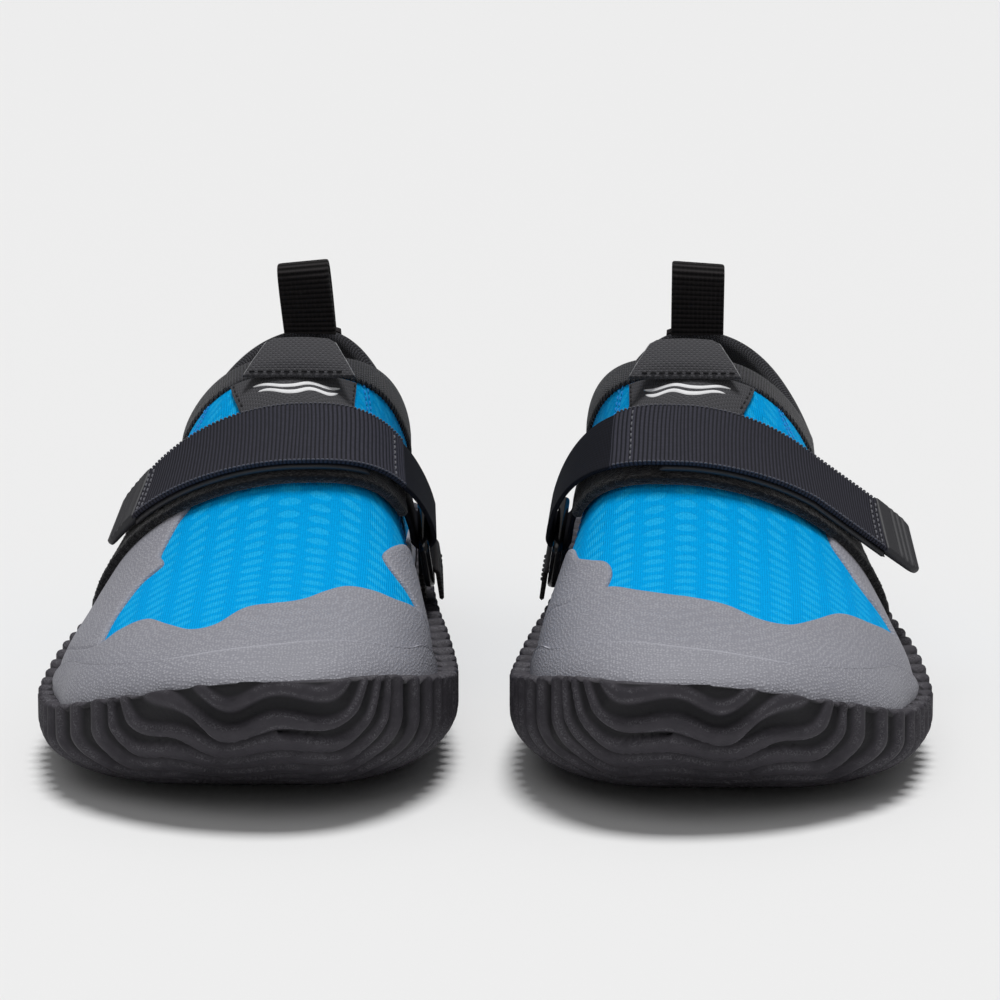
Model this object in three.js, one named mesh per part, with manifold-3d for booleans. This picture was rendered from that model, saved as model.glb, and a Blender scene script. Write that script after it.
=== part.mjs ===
// A pair of low-cut neoprene water boots, right and left, standing side by side.
// Units are millimetres. +Z is up, the toes point along -Y and the wearer's right boot is at -X.
// Each boot is drawn in its own frame: x is 0 on the heel axis and grows towards the inner
// (medial) side, y runs from 0 at the toe tip to SOLE_LENGTH at the heel, and z is 0 on the floor.
import * as THREE from 'three';
import { mergeVertices } from 'three/addons/utils/BufferGeometryUtils.js';
import Module from 'manifold-3d';

const wasm = await Module();
wasm.setup();

// ---------------------------------------------------------------- driving dimensions
const SOLE_LENGTH = 285;
const BOOT_SPACING = 115;      // between the two heel axes
const TOE_SPRING = 24;         // height of the tread's edge at the toe tip
const TOE_SPRING_LENGTH = 62;
const HEEL_SPRING = 4;
const HEEL_SPRING_LENGTH = 22;
const SOLE_THICKNESS = 7;      // tread and midsole under the insole board
const NEOPRENE = 3;            // thickness of the stretch upper
const OVERLAY = 0.8;           // thickness of the bonded rubber overlays
const GAP = 0.3;               // clearance between touching pieces
const OVERLAY_BASE = 0.7;
const OVERLAY_TOP = OVERLAY_BASE + OVERLAY;
const BOARD = 3;               // fibre board with its foam
const FOOTBED = 4;
const RIM = 190;               // station of the collar's top edge
const BINDING = 178;           // station of the binding's lower edge
const STRAP_WIDTH = 22;
const PILE_WIDTH = 27;
const PILE_THICKNESS = 1.8;
const HOOK_THICKNESS = 1.2;
const WEBBING = 1.5;
const ELASTIC = 1.3;
const RING_BAR = 2.8;
const RING_DROP = 12;          // between the ring's two bar centres
const RING_LENGTH = 33;
const LOOP_WIDTH = 15.5;
const LOOP_TOP = 105;
const RAD = Math.PI / 180;

// ---------------------------------------------------------------- curves through stations
// A smooth curve through [position, value] pairs.
function curve(pairs) {
  const slopes = pairs.map((pair, i) => {
    const before = pairs[Math.max(i - 1, 0)];
    const after = pairs[Math.min(i + 1, pairs.length - 1)];
    return (after[1] - before[1]) / (after[0] - before[0]);
  });
  return (position) => {
    const last = pairs.length - 1;
    const x = Math.min(Math.max(position, pairs[0][0]), pairs[last][0]);
    let i = 0;
    while (i < last - 1 && x > pairs[i + 1][0]) i += 1;
    const span = pairs[i + 1][0] - pairs[i][0];
    const u = (x - pairs[i][0]) / span;
    const rise = pairs[i][1] * (2 * u ** 3 - 3 * u ** 2 + 1) + pairs[i + 1][1] * (3 * u ** 2 - 2 * u ** 3);
    const bend = slopes[i] * (u ** 3 - 2 * u ** 2 + u) + slopes[i + 1] * (u ** 3 - u ** 2);
    return rise + bend * span;
  };
}

// Runs from 0 at a rounded end to 1 at the given length, as a superellipse.
function rounding(distance, length, power) {
  const u = Math.min(Math.max(distance / length, 0), 1);
  return (1 - (1 - u) ** power) ** (1 / power);
}

// Height of the tread above the floor.
function spring(y) {
  const toe = Math.max(1 - y / TOE_SPRING_LENGTH, 0);
  const heel = Math.max((y - SOLE_LENGTH + HEEL_SPRING_LENGTH) / HEEL_SPRING_LENGTH, 0);
  return TOE_SPRING * toe ** 2.2 + HEEL_SPRING * heel ** 2;
}

// ---------------------------------------------------------------- the last
// Stations run from 0 at the toe tip, over the instep, to RIM at the collar. Each station is a
// closed section between a dorsal point and a plantar point, upright at the toe and lying
// flatter and flatter towards the collar.
const TIP_HEIGHT = 34;
const dorsalY = curve([[0, 4], [50, 54], [80, 84], [95, 98], [105, 107.5], [115, 117], [125, 126],
  [135, 134.5], [145, 141], [161, 146.5], [178, 152], [190, 160]]);
const dorsalZ = curve([[0, 40], [20, 43], [50, 47], [80, 52], [95, 56.5], [105, 60.8], [115, 66.5],
  [125, 72.8], [135, 79], [145, 83.8], [161, 87.6], [178, 90.5], [190, 93]]);
const plantarY = curve([[0, 4], [50, 54], [80, 84], [95, 100], [105, 116], [115, 138], [125, 168],
  [135, 209], [145, 250], [153, 270], [161, 279], [169, 281], [178, 277], [190, 270]]);
const plantarRise = curve([[0, 0], [135, 0], [145, 1], [153, 8], [161, 23], [169, 43], [178, 65],
  [190, 78]]);
const innerHalf = curve([[0, 37], [26, 40.5], [56, 43], [81, 43], [105, 39.5], [125, 34.5], [145, 33],
  [161, 32.5], [178, 31.5], [190, 31]]);
const outerHalf = curve([[0, 32], [26, 43], [56, 49], [81, 53], [105, 50], [125, 43], [145, 38],
  [161, 34.5], [178, 32], [190, 31]]);
const crestX = curve([[0, 8], [50, 6], [108, 5], [135, 5], [160, 3], [190, 1.5]]);
const innerPower = curve([[0, 2.5], [60, 2.7], [125, 2.9], [150, 2.4], [190, 2.1]]);
const outerPower = curve([[0, 2.2], [60, 2], [95, 1.8], [125, 1.95], [150, 2.2], [190, 2.1]]);
const widestAt = curve([[0, 0.6], [40, 0.74], [100, 0.74], [125, 0.68], [150, 0.5], [190, 0.5]]);
const sideDip = curve([[0, 0], [120, 0], [135, 3], [145, 8], [153, 14], [161, 18], [169, 22], [178, 26],
  [190, 26]]);
const SOLE_POWER = 3;
const INNER_DIP_LAG = 1.6;     // the top line stays high for longer on the inner side

// A point of the last's surface. The angle is 0 on the crest, 90 degrees on the inner side,
// 180 degrees under the foot or behind the heel and -90 degrees on the outer side.
function lastPoint(station, angle) {
  const end = rounding(station, 46, 2.3);
  const endHeight = rounding(station, 20, 2);
  const across = Math.sin(angle);
  const along = Math.cos(angle);
  const inner = across >= 0;
  const half = inner ? innerHalf(station) : -outerHalf(station);
  const topPower = inner ? innerPower(station) : outerPower(station);
  const power = along >= 0 ? topPower : SOLE_POWER - rounding(station - 135, 30, 1) * 0.8;
  const reach = Math.abs(across) ** (2 / power);
  const depth = Math.abs(along) ** (2 / power);
  const widest = widestAt(station);
  const share = along >= 0 ? widest * (1 - depth) : widest + (1 - widest) * depth;
  const topY = dorsalY(station);
  const lowY = plantarY(station);
  const topZ = TIP_HEIGHT + (dorsalZ(station) - TIP_HEIGHT) * endHeight;
  const floorZ = spring(Math.min(lowY, 255)) + SOLE_THICKNESS + plantarRise(station);
  const lowZ = TIP_HEIGHT + (floorZ - TIP_HEIGHT) * endHeight;
  const chord = Math.hypot(lowY - topY, topZ - lowZ) || 1;
  const dip = sideDip(station) * Math.sin(Math.PI * share ** (inner ? INNER_DIP_LAG : 1));
  const centre = crestX(station);
  return new THREE.Vector3(
    centre + (half - centre) * reach * end,
    topY + (lowY - topY) * share - (dip * (topZ - lowZ)) / chord,
    topZ + (lowZ - topZ) * share - (dip * (lowY - topY)) / chord,
  );
}

const STEP = 0.4;

function stationTangent(station, angle) {
  const from = Math.max(station - STEP, 0);
  return lastPoint(from + 2 * STEP, angle).sub(lastPoint(from, angle)).normalize();
}

function angleTangent(station, angle) {
  const inside = Math.max(station, STEP);
  return lastPoint(inside, angle + 0.02).sub(lastPoint(inside, angle - 0.02)).normalize();
}

function lastNormal(station, angle) {
  if (station < STEP) return new THREE.Vector3(0, -1, 0);
  return angleTangent(station, angle).cross(stationTangent(station, angle)).normalize();
}

function raised(station, angle, height) {
  return lastPoint(station, angle).addScaledVector(lastNormal(station, angle), height);
}

// The station that lies a distance away from a start, measured on the surface.
function walk(station, angle, distance) {
  const stride = 0.25 * Math.sign(distance);
  let here = lastPoint(station, angle);
  let left = Math.abs(distance);
  let at = station;
  while (left > 0 && at > 1 && at < RIM + 6) {
    const next = lastPoint(at + stride, angle);
    left -= next.distanceTo(here);
    here = next;
    at += stride;
  }
  return at;
}

// ---------------------------------------------------------------- solids
function spread(from, to, count) {
  return Array.from({ length: count + 1 }, (_, i) => from + ((to - from) * i) / count);
}

function signedVolume(points, faces) {
  const cross = new THREE.Vector3();
  return faces.reduce((sum, [a, b, c]) => sum + points[a].dot(cross.crossVectors(points[b], points[c])), 0);
}

// One closed body from points and triangles, facing outwards.
function closedBody(points, faces) {
  const outward = signedVolume(points, faces) > 0;
  const positions = faces.flatMap((face) => (outward ? face : [...face].reverse()))
    .flatMap((index) => points[index].toArray());
  const soup = new THREE.BufferGeometry();
  soup.setAttribute('position', new THREE.Float32BufferAttribute(positions, 3));
  const merged = mergeVertices(soup, 1e-3);
  const index = merged.getIndex().array;
  const kept = [];
  for (let i = 0; i < index.length; i += 3) {
    const [a, b, c] = [index[i], index[i + 1], index[i + 2]];
    if (a !== b && b !== c && c !== a) kept.push(a, b, c);
  }
  merged.setIndex(kept);
  return merged;
}

// A shell between two grids of the same size, or a closed band when the columns run round.
function shell(outer, inner, round = false) {
  const rows = outer.length;
  const columns = outer[0].length;
  const points = [...outer.flat(), ...inner.flat()];
  const top = (i, j) => i * columns + (j % columns);
  const under = (i, j) => rows * columns + top(i, j);
  const faces = [];
  const quad = (a, b, c, d) => faces.push([a, b, c], [a, c, d]);
  const spans = round ? columns : columns - 1;
  for (let i = 0; i < rows - 1; i += 1) {
    for (let j = 0; j < spans; j += 1) {
      quad(top(i, j), top(i, j + 1), top(i + 1, j + 1), top(i + 1, j));
      quad(under(i, j), under(i + 1, j), under(i + 1, j + 1), under(i, j + 1));
    }
  }
  for (let j = 0; j < spans; j += 1) {
    quad(top(0, j), under(0, j), under(0, j + 1), top(0, j + 1));
    quad(top(rows - 1, j), top(rows - 1, j + 1), under(rows - 1, j + 1), under(rows - 1, j));
  }
  for (let i = 0; i < rows - 1 && !round; i += 1) {
    quad(top(i, 0), top(i + 1, 0), under(i + 1, 0), under(i, 0));
    quad(top(i, columns - 1), under(i, columns - 1), under(i + 1, columns - 1), top(i + 1, columns - 1));
  }
  return closedBody(points, faces);
}

// A closed body through sections that run round; each end section is filled with a fan.
function loft(rows, ends) {
  const columns = rows[0].length;
  const points = rows.flat();
  const faces = [];
  for (let i = 0; i < rows.length - 1; i += 1) {
    for (let j = 0; j < columns; j += 1) {
      const [a, b] = [i * columns + j, i * columns + ((j + 1) % columns)];
      faces.push([a, b, b + columns], [a, b + columns, a + columns]);
    }
  }
  ends.forEach((end, k) => {
    const start = k === 0 ? 0 : (rows.length - 1) * columns;
    for (let j = 1; j < columns - 1; j += 1) {
      const fan = [start, start + j, start + j + 1];
      faces.push(k === 0 ? fan.reverse() : fan);
    }
  });
  return closedBody(points, faces);
}

function solidOf(geometry) {
  return new wasm.Manifold(new wasm.Mesh({
    numProp: 3,
    vertProperties: new Float32Array(geometry.getAttribute('position').array),
    triVerts: new Uint32Array(geometry.getIndex().array),
  }));
}

function geometryOf(solid) {
  const mesh = solid.getMesh();
  const geometry = new THREE.BufferGeometry();
  geometry.setAttribute('position', new THREE.BufferAttribute(mesh.vertProperties, 3));
  geometry.setIndex(new THREE.BufferAttribute(mesh.triVerts, 1));
  return geometry;
}

// ---------------------------------------------------------------- layers of the upper
// Every layer has its points on the same lattice, so that layers lie parallel to one another. A
// piece keeps the lattice points inside its own edges, and its outermost points slide onto them.
const LATTICE_STATIONS = [0, 1.5, 5, 11, 21, 35, 50, 66, 82, 94, 102, 110, 118, 126, 134, 140, 145, 149, 153,
  160, 169, 178];
const LATTICE_TURN = 15 * RAD;
const clamp = (value, low, high) => Math.min(Math.max(value, low), high);

function latticeGrid(stations, height) {
  const angles = spread(0, 2 * Math.PI, 24).slice(0, -1);
  return stations.map((station) => angles.map((angle) => raised(station, angle, height)));
}

function latticeAngles(low, high) {
  const first = Math.floor(low / LATTICE_TURN + 1e-6) + 1;
  const last = Math.ceil(high / LATTICE_TURN - 1e-6) - 1;
  return [low, ...spread(first, last, last - first).map((turn) => turn * LATTICE_TURN), high];
}

function latticeStations(first, last) {
  return [first, ...LATTICE_STATIONS.filter((s) => s > first + 0.5 && s < last - 0.5), last];
}

// A layer between two heights whose edges low and high are angles that change with the station.
function layer(first, last, low, high, from, to) {
  const stations = latticeStations(first, last);
  const lowest = Math.min(...stations.map(low));
  const highest = Math.max(...stations.map(high));
  const angles = latticeAngles(lowest, highest);
  const grid = (height) => stations.map((s) => angles
    .map((angle) => raised(s, clamp(angle, low(s), high(s)), height)));
  return shell(grid(to), grid(from));
}

// A layer whose edges near and far are stations that change with the angle.
function reachLayer(low, high, near, far, from, to) {
  const angles = latticeAngles(low, high);
  const stations = latticeStations(Math.min(...angles.map(near)), Math.max(...angles.map(far)));
  const grid = (height) => stations.map((s) => angles
    .map((angle) => raised(clamp(s, near(angle), far(angle)), angle, height)));
  return shell(grid(to), grid(from));
}

// ---------------------------------------------------------------- limits on the last
const INNER_EDGE = 128 * RAD;          // where the upper ends under the foot
const HEEL_TURN = 150;                 // station where the insole board ends
const footEdge = (s) => INNER_EDGE + (Math.PI - INNER_EDGE) * Math.min(Math.max((s - 132) / 18, 0), 1) ** 1.5;
const SEAM = 0.008;                    // half an edge gap, as an angle
const UPPER_TOP = BINDING - 0.8;
const VAMP_TURN = 96;                  // station where the vamp starts to narrow
const VAMP_TOP = 40 * RAD;
const vampShare = (s) => Math.min(Math.max((s - VAMP_TURN) / 40, 0), 1);
const vampEdge = (s) => INNER_EDGE + (VAMP_TOP - INNER_EDGE) * vampShare(s) ** 0.8;

function vamp() {
  return layer(0, UPPER_TOP, (s) => -vampEdge(s), vampEdge, -NEOPRENE, 0);
}

// A side of the upper. Its two edges run from the vamp's seam to the insole board or the heel.
function quarter(inner) {
  const near = (s) => vampEdge(s) + 2 * SEAM;
  const far = (s) => footEdge(s) - SEAM;
  const low = inner ? near : (s) => -far(s);
  const high = inner ? far : (s) => -near(s);
  return layer(VAMP_TURN + 6, UPPER_TOP, low, high, -NEOPRENE, 0);
}

function collar() {
  const stations = [BINDING, (BINDING + RIM) / 2, RIM];
  return shell(latticeGrid(stations, 0.5), latticeGrid(stations, -NEOPRENE - 0.3), true);
}

function underFoot(first, inset, from, to) {
  const low = (s) => footEdge(s) + inset * SEAM;
  return layer(first, HEEL_TURN - 1, low, (s) => 2 * Math.PI - low(s), from, to);
}

function insoleBoard() {
  return underFoot(5, 3, -BOARD, 0);
}

function footbed() {
  return underFoot(11, 8, -NEOPRENE - GAP - FOOTBED, -NEOPRENE - GAP);
}

// ---------------------------------------------------------------- rubber overlays
const HIDDEN = 105 * RAD;              // the overlays run down inside the sole's wall to here
const footReach = (s) => Math.min(HIDDEN, footEdge(s) - SEAM);
const capEdge = curve([[-112, 95], [-90, 92], [-74, 82], [-62, 66], [-50, 57], [-37, 50], [-24, 38], [-16, 38],
  [-7, 45], [3, 49], [12, 57], [21, 63], [36, 66], [50, 70], [62, 77], [90, 80], [112, 82]]);
const innerWingTop = curve([[84, 50], [90, 36], [97, 40], [104, 50], [110, 58], [118, 72], [150, 92]]);
const outerWingTop = curve([[97, 48], [103, 44], [110, 43], [116, 39], [124, 44], [130, 54], [138, 72],
  [150, 88]]);
const heelTop = curve([[90, 150], [105, 159], [120, 164], [150, 169], [180, 171], [210, 169], [240, 164],
  [255, 159], [270, 150]]);

function toeCap() {
  return reachLayer(-HIDDEN, HIDDEN, () => 0, (angle) => capEdge(angle / RAD), OVERLAY_BASE, OVERLAY_TOP);
}

// A rubber wing along one side, from the toe cap's end to the heel counter.
function wing(inner, topOf, first) {
  const near = (s) => topOf(s) * RAD;
  const low = inner ? near : (s) => -footReach(s);
  const high = inner ? footReach : (s) => -near(s);
  return layer(first, HEEL_TURN - 1.3, low, high, OVERLAY_BASE, OVERLAY_TOP);
}

function heelCounter() {
  const top = (angle) => heelTop(angle / RAD);
  return reachLayer(90 * RAD, 270 * RAD, () => HEEL_TURN - 0.7, top, OVERLAY_BASE, OVERLAY_TOP);
}

// ---------------------------------------------------------------- outsole
const soleInner = curve([[0, 42], [30, 46], [60, 50], [85, 50.5], [120, 47], [150, 43], [180, 40], [210, 38],
  [240, 37.5], [285, 37.5]]);
const soleOuter = curve([[0, 37], [30, 48.5], [60, 55.5], [85, 59], [120, 57], [150, 52], [180, 47], [210, 42],
  [240, 39], [285, 38]]);
const wallInner = curve([[0, 38], [15, 36.5], [40, 31], [80, 24], [120, 25], [180, 28], [240, 32], [285, 35]]);
const wallOuter = curve([[0, 38], [12, 32], [40, 23], [80, 18.5], [120, 22], [180, 28], [240, 32], [285, 35]]);
const WALL_GAP = 0.6;          // glue line between the upper and the sole's wall
const SOLE_TOE_ROUND = 52;
const SOLE_HEEL_ROUND = 48;
const TOE_CENTRE = 8;
const treadInset = curve([[0, 27], [50, 25], [90, 18], [130, 12], [285, 12]]);   // widest outline to tread

function soleEdge(y, inner) {
  const end = rounding(y, SOLE_TOE_ROUND, 2.3) * rounding(SOLE_LENGTH - y, SOLE_HEEL_ROUND, 2.2);
  const centre = TOE_CENTRE * Math.max(1 - y / 70, 0);
  return centre + ((inner ? soleInner(y) : -soleOuter(y)) - centre) * end;
}

// The sole's outside before it is hollowed, as closed sections across the foot.
function soleHull() {
  const halfTurns = spread(0, 1, 24);
  const rows = halfTurns.map((u) => {
    const y = (SOLE_LENGTH * (1 - Math.cos(Math.PI * u))) / 2;
    const centre = (soleEdge(y, true) + soleEdge(y, false)) / 2;
    const low = spring(y);
    const section = [];
    for (const inner of [true, false]) {
      const edge = soleEdge(y, inner);
      const top = (inner ? wallInner : wallOuter)(y);
      const inset = Math.min(treadInset(y), Math.abs(edge - centre) * 0.45);
      const foot = edge - Math.sign(edge - centre) * inset;
      const bulge = spread(0, 1, 3).map((v) => new THREE.Vector3(
        foot + (edge - foot) * Math.sin((v * Math.PI) / 2),
        y,
        low + (top - low) * 0.62 * (1 - Math.cos((v * Math.PI) / 2)),
      ));
      const wall = [...bulge, new THREE.Vector3(edge, y, top)];
      section.push(...(inner ? wall : wall.reverse()));
    }
    return section;
  });
  const ends = [rows[0], rows[rows.length - 1]];
  return loft(rows, ends);
}

// The room that the upper and its overlays take inside the sole.
function sockRoom() {
  const rows = latticeGrid(LATTICE_STATIONS, OVERLAY_TOP + WALL_GAP);
  return loft(rows, [rows[0], rows[rows.length - 1]]);
}

function outsole() {
  return geometryOf(solidOf(soleHull()).subtract(solidOf(sockRoom())));
}

// ---------------------------------------------------------------- strap, ring and webbing
const STRAP_STATION = 125;             // station of the strap's middle on the crest
const STRAP_SLANT = 0.06;              // stations forward for each degree to the outer side
const UNDER_PILE = OVERLAY_TOP + GAP;
const UNDER_HOOK = UNDER_PILE + PILE_THICKNESS + 2 * GAP;
const UNDER_STRAP = UNDER_HOOK + HOOK_THICKNESS + GAP;
const strapMiddle = (angle) => STRAP_STATION + (STRAP_SLANT * angle) / RAD;

// Rows across a strap: one row for each angle, points and normals from front to back.
function strapRow(angle, width, columns = 2) {
  const middle = strapMiddle(angle);
  return spread(-width / 2, width / 2, columns).map((offset) => {
    const station = walk(middle, angle, offset);
    return { point: lastPoint(station, angle), normal: lastNormal(station, angle) };
  });
}

function flatStrap(rows, from, to) {
  const grid = (height) => rows.map((row) => row
    .map(({ point, normal }) => point.clone().addScaledVector(normal, height)));
  return shell(grid(to), grid(from));
}

// Rows that carry on straight from the last row of a strap.
function freeRows(row, direction, distances) {
  return distances.map((distance) => row.map(({ point, normal }) => ({
    point: point.clone().addScaledVector(direction, distance),
    normal,
  })));
}

// Each strap is pulled through its ring by a different amount. The hinge is the line where the flap is
// stitched to the elastic, the lift is where the strap leaves the instep, and the free length follows.
const STRAP_FIT = {
  right: { hinge: 45 * RAD, lift: -46 * RAD, free: 3 },
  left: { hinge: 24 * RAD, lift: -38 * RAD, free: 25 },
};
const FLAP_START = 3 * SEAM;           // room for the flap's edge to turn past the elastic
const PILE_INNER = 58 * RAD;
const PILE_OUTER = -84 * RAD;
const BAR_ANGLE = 74 * RAD;            // the ring's upper bar
const TAB_LENGTH = 12;

const flapRows = ({ hinge, lift }) => spread(hinge - FLAP_START, lift, 14)
  .map((angle) => strapRow(angle, STRAP_WIDTH));

function freeEnd({ lift }, distances) {
  const direction = angleTangent(strapMiddle(lift), lift).negate();
  return freeRows(strapRow(lift, STRAP_WIDTH), direction, distances);
}

function strapWebbing(fit) {
  const rows = [...flapRows(fit), ...freeEnd(fit, [fit.free])];
  return flatStrap(rows, UNDER_STRAP, UNDER_STRAP + WEBBING);
}

function hookPad(fit) {
  const rows = [...flapRows(fit).slice(3), ...freeEnd(fit, [fit.free])];
  return flatStrap(rows, UNDER_HOOK, UNDER_HOOK + HOOK_THICKNESS);
}

function endTab(fit) {
  const rows = freeEnd(fit, [fit.free + GAP, fit.free + 7, fit.free + TAB_LENGTH]);
  return flatStrap(rows, UNDER_STRAP - 0.6, UNDER_STRAP + 1.9);
}

function pileStrap() {
  const rows = spread(PILE_INNER, PILE_OUTER, 16).map((angle) => strapRow(angle, PILE_WIDTH));
  return flatStrap(rows, UNDER_PILE, UNDER_PILE + PILE_THICKNESS);
}

// A strip folded round a bar. Rows of centre points with the direction away from the fold.
function foldedStrip(rows, thickness) {
  const grid = (height) => rows.map((row) => row
    .map(({ point, away }) => point.clone().addScaledVector(away, height)));
  return shell(grid(thickness / 2), grid(-thickness / 2));
}

const BAR_PLAY = 0.9;                  // room for the ring to rock in its webbing
const BAR_HEIGHT = UNDER_PILE + ELASTIC + BAR_PLAY + RING_BAR / 2;   // bar centre above the last
const FOLD_RADIUS = RING_BAR / 2 + BAR_PLAY + ELASTIC / 2;
const FOLD_STEPS = spread(0, Math.PI, 6);

// The place of the ring: its bars run along the strap's width, its drop down the foot's side.
const ringStation = strapMiddle(BAR_ANGLE);
const ringWidth = stationTangent(ringStation, BAR_ANGLE);
const ringOut = lastNormal(ringStation, BAR_ANGLE);
const ringDown = new THREE.Vector3().crossVectors(ringWidth, ringOut).normalize();
const ringTop = raised(ringStation, BAR_ANGLE, BAR_HEIGHT);

function barRow(along, out, down, width) {
  return spread(-width / 2, width / 2, 2).map((offset) => ringTop.clone()
    .addScaledVector(ringWidth, offset).addScaledVector(ringOut, out).addScaledVector(ringDown, down + along));
}

function elasticWebbing({ hinge }) {
  const inside = [60, 65, 70].map((degrees) => strapRow(degrees * RAD, STRAP_WIDTH)
    .map(({ point, normal }) => ({
      point: point.clone().addScaledVector(normal, UNDER_PILE + ELASTIC / 2),
      away: normal.clone().negate(),
    })));
  const fold = FOLD_STEPS.map((turn) => {
    const away = ringOut.clone().multiplyScalar(-Math.cos(turn)).addScaledVector(ringDown, Math.sin(turn));
    return barRow(0, -Math.cos(turn) * FOLD_RADIUS, Math.sin(turn) * FOLD_RADIUS, STRAP_WIDTH)
      .map((point) => ({ point, away }));
  });
  const seam = hinge / RAD + 0.9;
  const steps = [70, 65, 60, 55, 50, 45, 40, 35, 30].filter((degrees) => degrees > seam + 2);
  const outside = [...steps, seam].map((degrees) => {
    const share = (degrees * RAD - hinge) / (BAR_ANGLE - hinge);
    const height = UNDER_STRAP + WEBBING / 2 + (BAR_HEIGHT + FOLD_RADIUS - UNDER_STRAP - WEBBING / 2) * share;
    return strapRow(degrees * RAD, STRAP_WIDTH).map(({ point, normal }) => ({
      point: point.clone().addScaledVector(normal, height),
      away: normal,
    }));
  });
  return foldedStrip([...inside, ...fold, ...outside], ELASTIC);
}

function ring() {
  const outline = (length, height, corner) => {
    const shape = new THREE.Shape();
    const [x, y] = [length / 2, height / 2];
    shape.moveTo(-x + corner, -y);
    shape.absarc(x - corner, -y + corner, corner, -Math.PI / 2, 0);
    shape.absarc(x - corner, y - corner, corner, 0, Math.PI / 2);
    shape.absarc(-x + corner, y - corner, corner, Math.PI / 2, Math.PI);
    shape.absarc(-x + corner, -y + corner, corner, Math.PI, 1.5 * Math.PI);
    return shape;
  };
  const shape = outline(RING_LENGTH, RING_DROP + RING_BAR, 3);
  shape.holes.push(outline(RING_LENGTH - 2 * RING_BAR, RING_DROP - RING_BAR, 1));
  const bevel = RING_BAR / 4;
  const geometry = new THREE.ExtrudeGeometry(shape, {
    depth: RING_BAR - 2 * bevel,
    bevelThickness: bevel,
    bevelSize: bevel,
    bevelOffset: -bevel,
    bevelSegments: 1,
    curveSegments: 2,
  });
  geometry.translate(0, -RING_DROP / 2, bevel - RING_BAR / 2);
  const up = ringDown.clone().negate();
  geometry.applyMatrix4(new THREE.Matrix4().makeBasis(ringWidth, up, ringOut).setPosition(ringTop));
  return geometry;
}

// The ring's webbing anchor: over the lower bar, with both tails running down to the sole.
function ringAnchor() {
  const width = 20;
  const tail = 7;
  const radius = RING_BAR / 2 + GAP + ELASTIC / 2;
  const run = (side) => [tail, tail / 2, 1].map((down) => barRow(RING_DROP, side * radius, down, width)
    .map((point) => ({ point, away: ringOut.clone().multiplyScalar(side) })));
  const over = FOLD_STEPS.map((turn) => {
    const away = ringOut.clone().multiplyScalar(-Math.cos(turn)).addScaledVector(ringDown, -Math.sin(turn));
    return barRow(RING_DROP, -Math.cos(turn) * radius, -Math.sin(turn) * radius, width)
      .map((point) => ({ point, away }));
  });
  return foldedStrip([...run(-1), ...over, ...run(1).reverse()], ELASTIC);
}

// ---------------------------------------------------------------- tabs and loops
const HEEL_BACK = lastPoint(RIM, Math.PI);

// A flat strip in the plane of the foot's length, from its centre line's points.
function strip(line, width, thickness, centre = 0) {
  const rows = line.map(([y, z], i) => {
    const before = line[Math.max(i - 1, 0)];
    const after = line[Math.min(i + 1, line.length - 1)];
    const away = new THREE.Vector3(0, -(after[1] - before[1]), after[0] - before[0]).normalize();
    return spread(-width / 2, width / 2, 2).map((x) => ({ point: new THREE.Vector3(centre + x, y, z), away }));
  });
  return foldedStrip(rows, thickness);
}

function heelLoop() {
  const base = HEEL_BACK.z + 1.2;
  const reach = 3.4;
  const top = LOOP_TOP - WEBBING / 2 - reach;
  const arc = spread(0, Math.PI, 8).map((turn) => [
    HEEL_BACK.y - Math.cos(turn) * reach,
    top + Math.sin(turn) * reach,
  ]);
  return strip([[HEEL_BACK.y - 1.4, base], [HEEL_BACK.y - 3, base + 6], ...arc, [HEEL_BACK.y + 3, base + 6],
    [HEEL_BACK.y + 1.4, base]], LOOP_WIDTH, WEBBING);
}

function heelTape() {
  const grid = (height) => spread(167.5, RIM - 1, 5).map((s) => spread(168, 192, 4)
    .map((degrees) => raised(s, degrees * RAD, height)));
  return shell(grid(OVERLAY_TOP + GAP + 1.2), grid(OVERLAY_TOP + GAP));
}

const TAB_HINGE_STATION = 164;

function tonguePatch() {
  const half = (s) => (27 - (s - 150) * 0.25) * RAD;
  return layer(150, TAB_HINGE_STATION - 0.6, (s) => -half(s), half, OVERLAY_BASE, OVERLAY_TOP);
}

const TAB_LOW = raised(TAB_HINGE_STATION, 0, 2);
const TONGUE_TAB_LENGTH = 12;
const TONGUE_TAB_THICKNESS = 1.4;
const TONGUE_TAB_SLOPE = 52 * RAD;

function tongueTab() {
  const shape = new THREE.Shape();
  shape.moveTo(-14, 0);
  shape.lineTo(14, 0);
  shape.lineTo(11, TONGUE_TAB_LENGTH - 2);
  shape.lineTo(9, TONGUE_TAB_LENGTH);
  shape.lineTo(-9, TONGUE_TAB_LENGTH);
  shape.lineTo(-11, TONGUE_TAB_LENGTH - 2);
  const geometry = new THREE.ExtrudeGeometry(shape, { depth: TONGUE_TAB_THICKNESS, bevelEnabled: false });
  geometry.rotateX(TONGUE_TAB_SLOPE);
  geometry.translate(TAB_LOW.x, TAB_LOW.y, TAB_LOW.z);
  return geometry;
}

// ---------------------------------------------------------------- one boot
const BLUE = [0x1488d6, 0.8];
const GREY_RUBBER = [0x828287, 0.7];
const DARK_KNIT = [0x3c3c42, 0.9];
const BLACK_RUBBER = [0x35353a, 0.75];
const BLACK_WEBBING = [0x14161c, 0.85];
const BLACK_PLASTIC = [0x101013, 0.35];
const BOARD_FIBRE = [0xb9b09a, 0.9];

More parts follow.
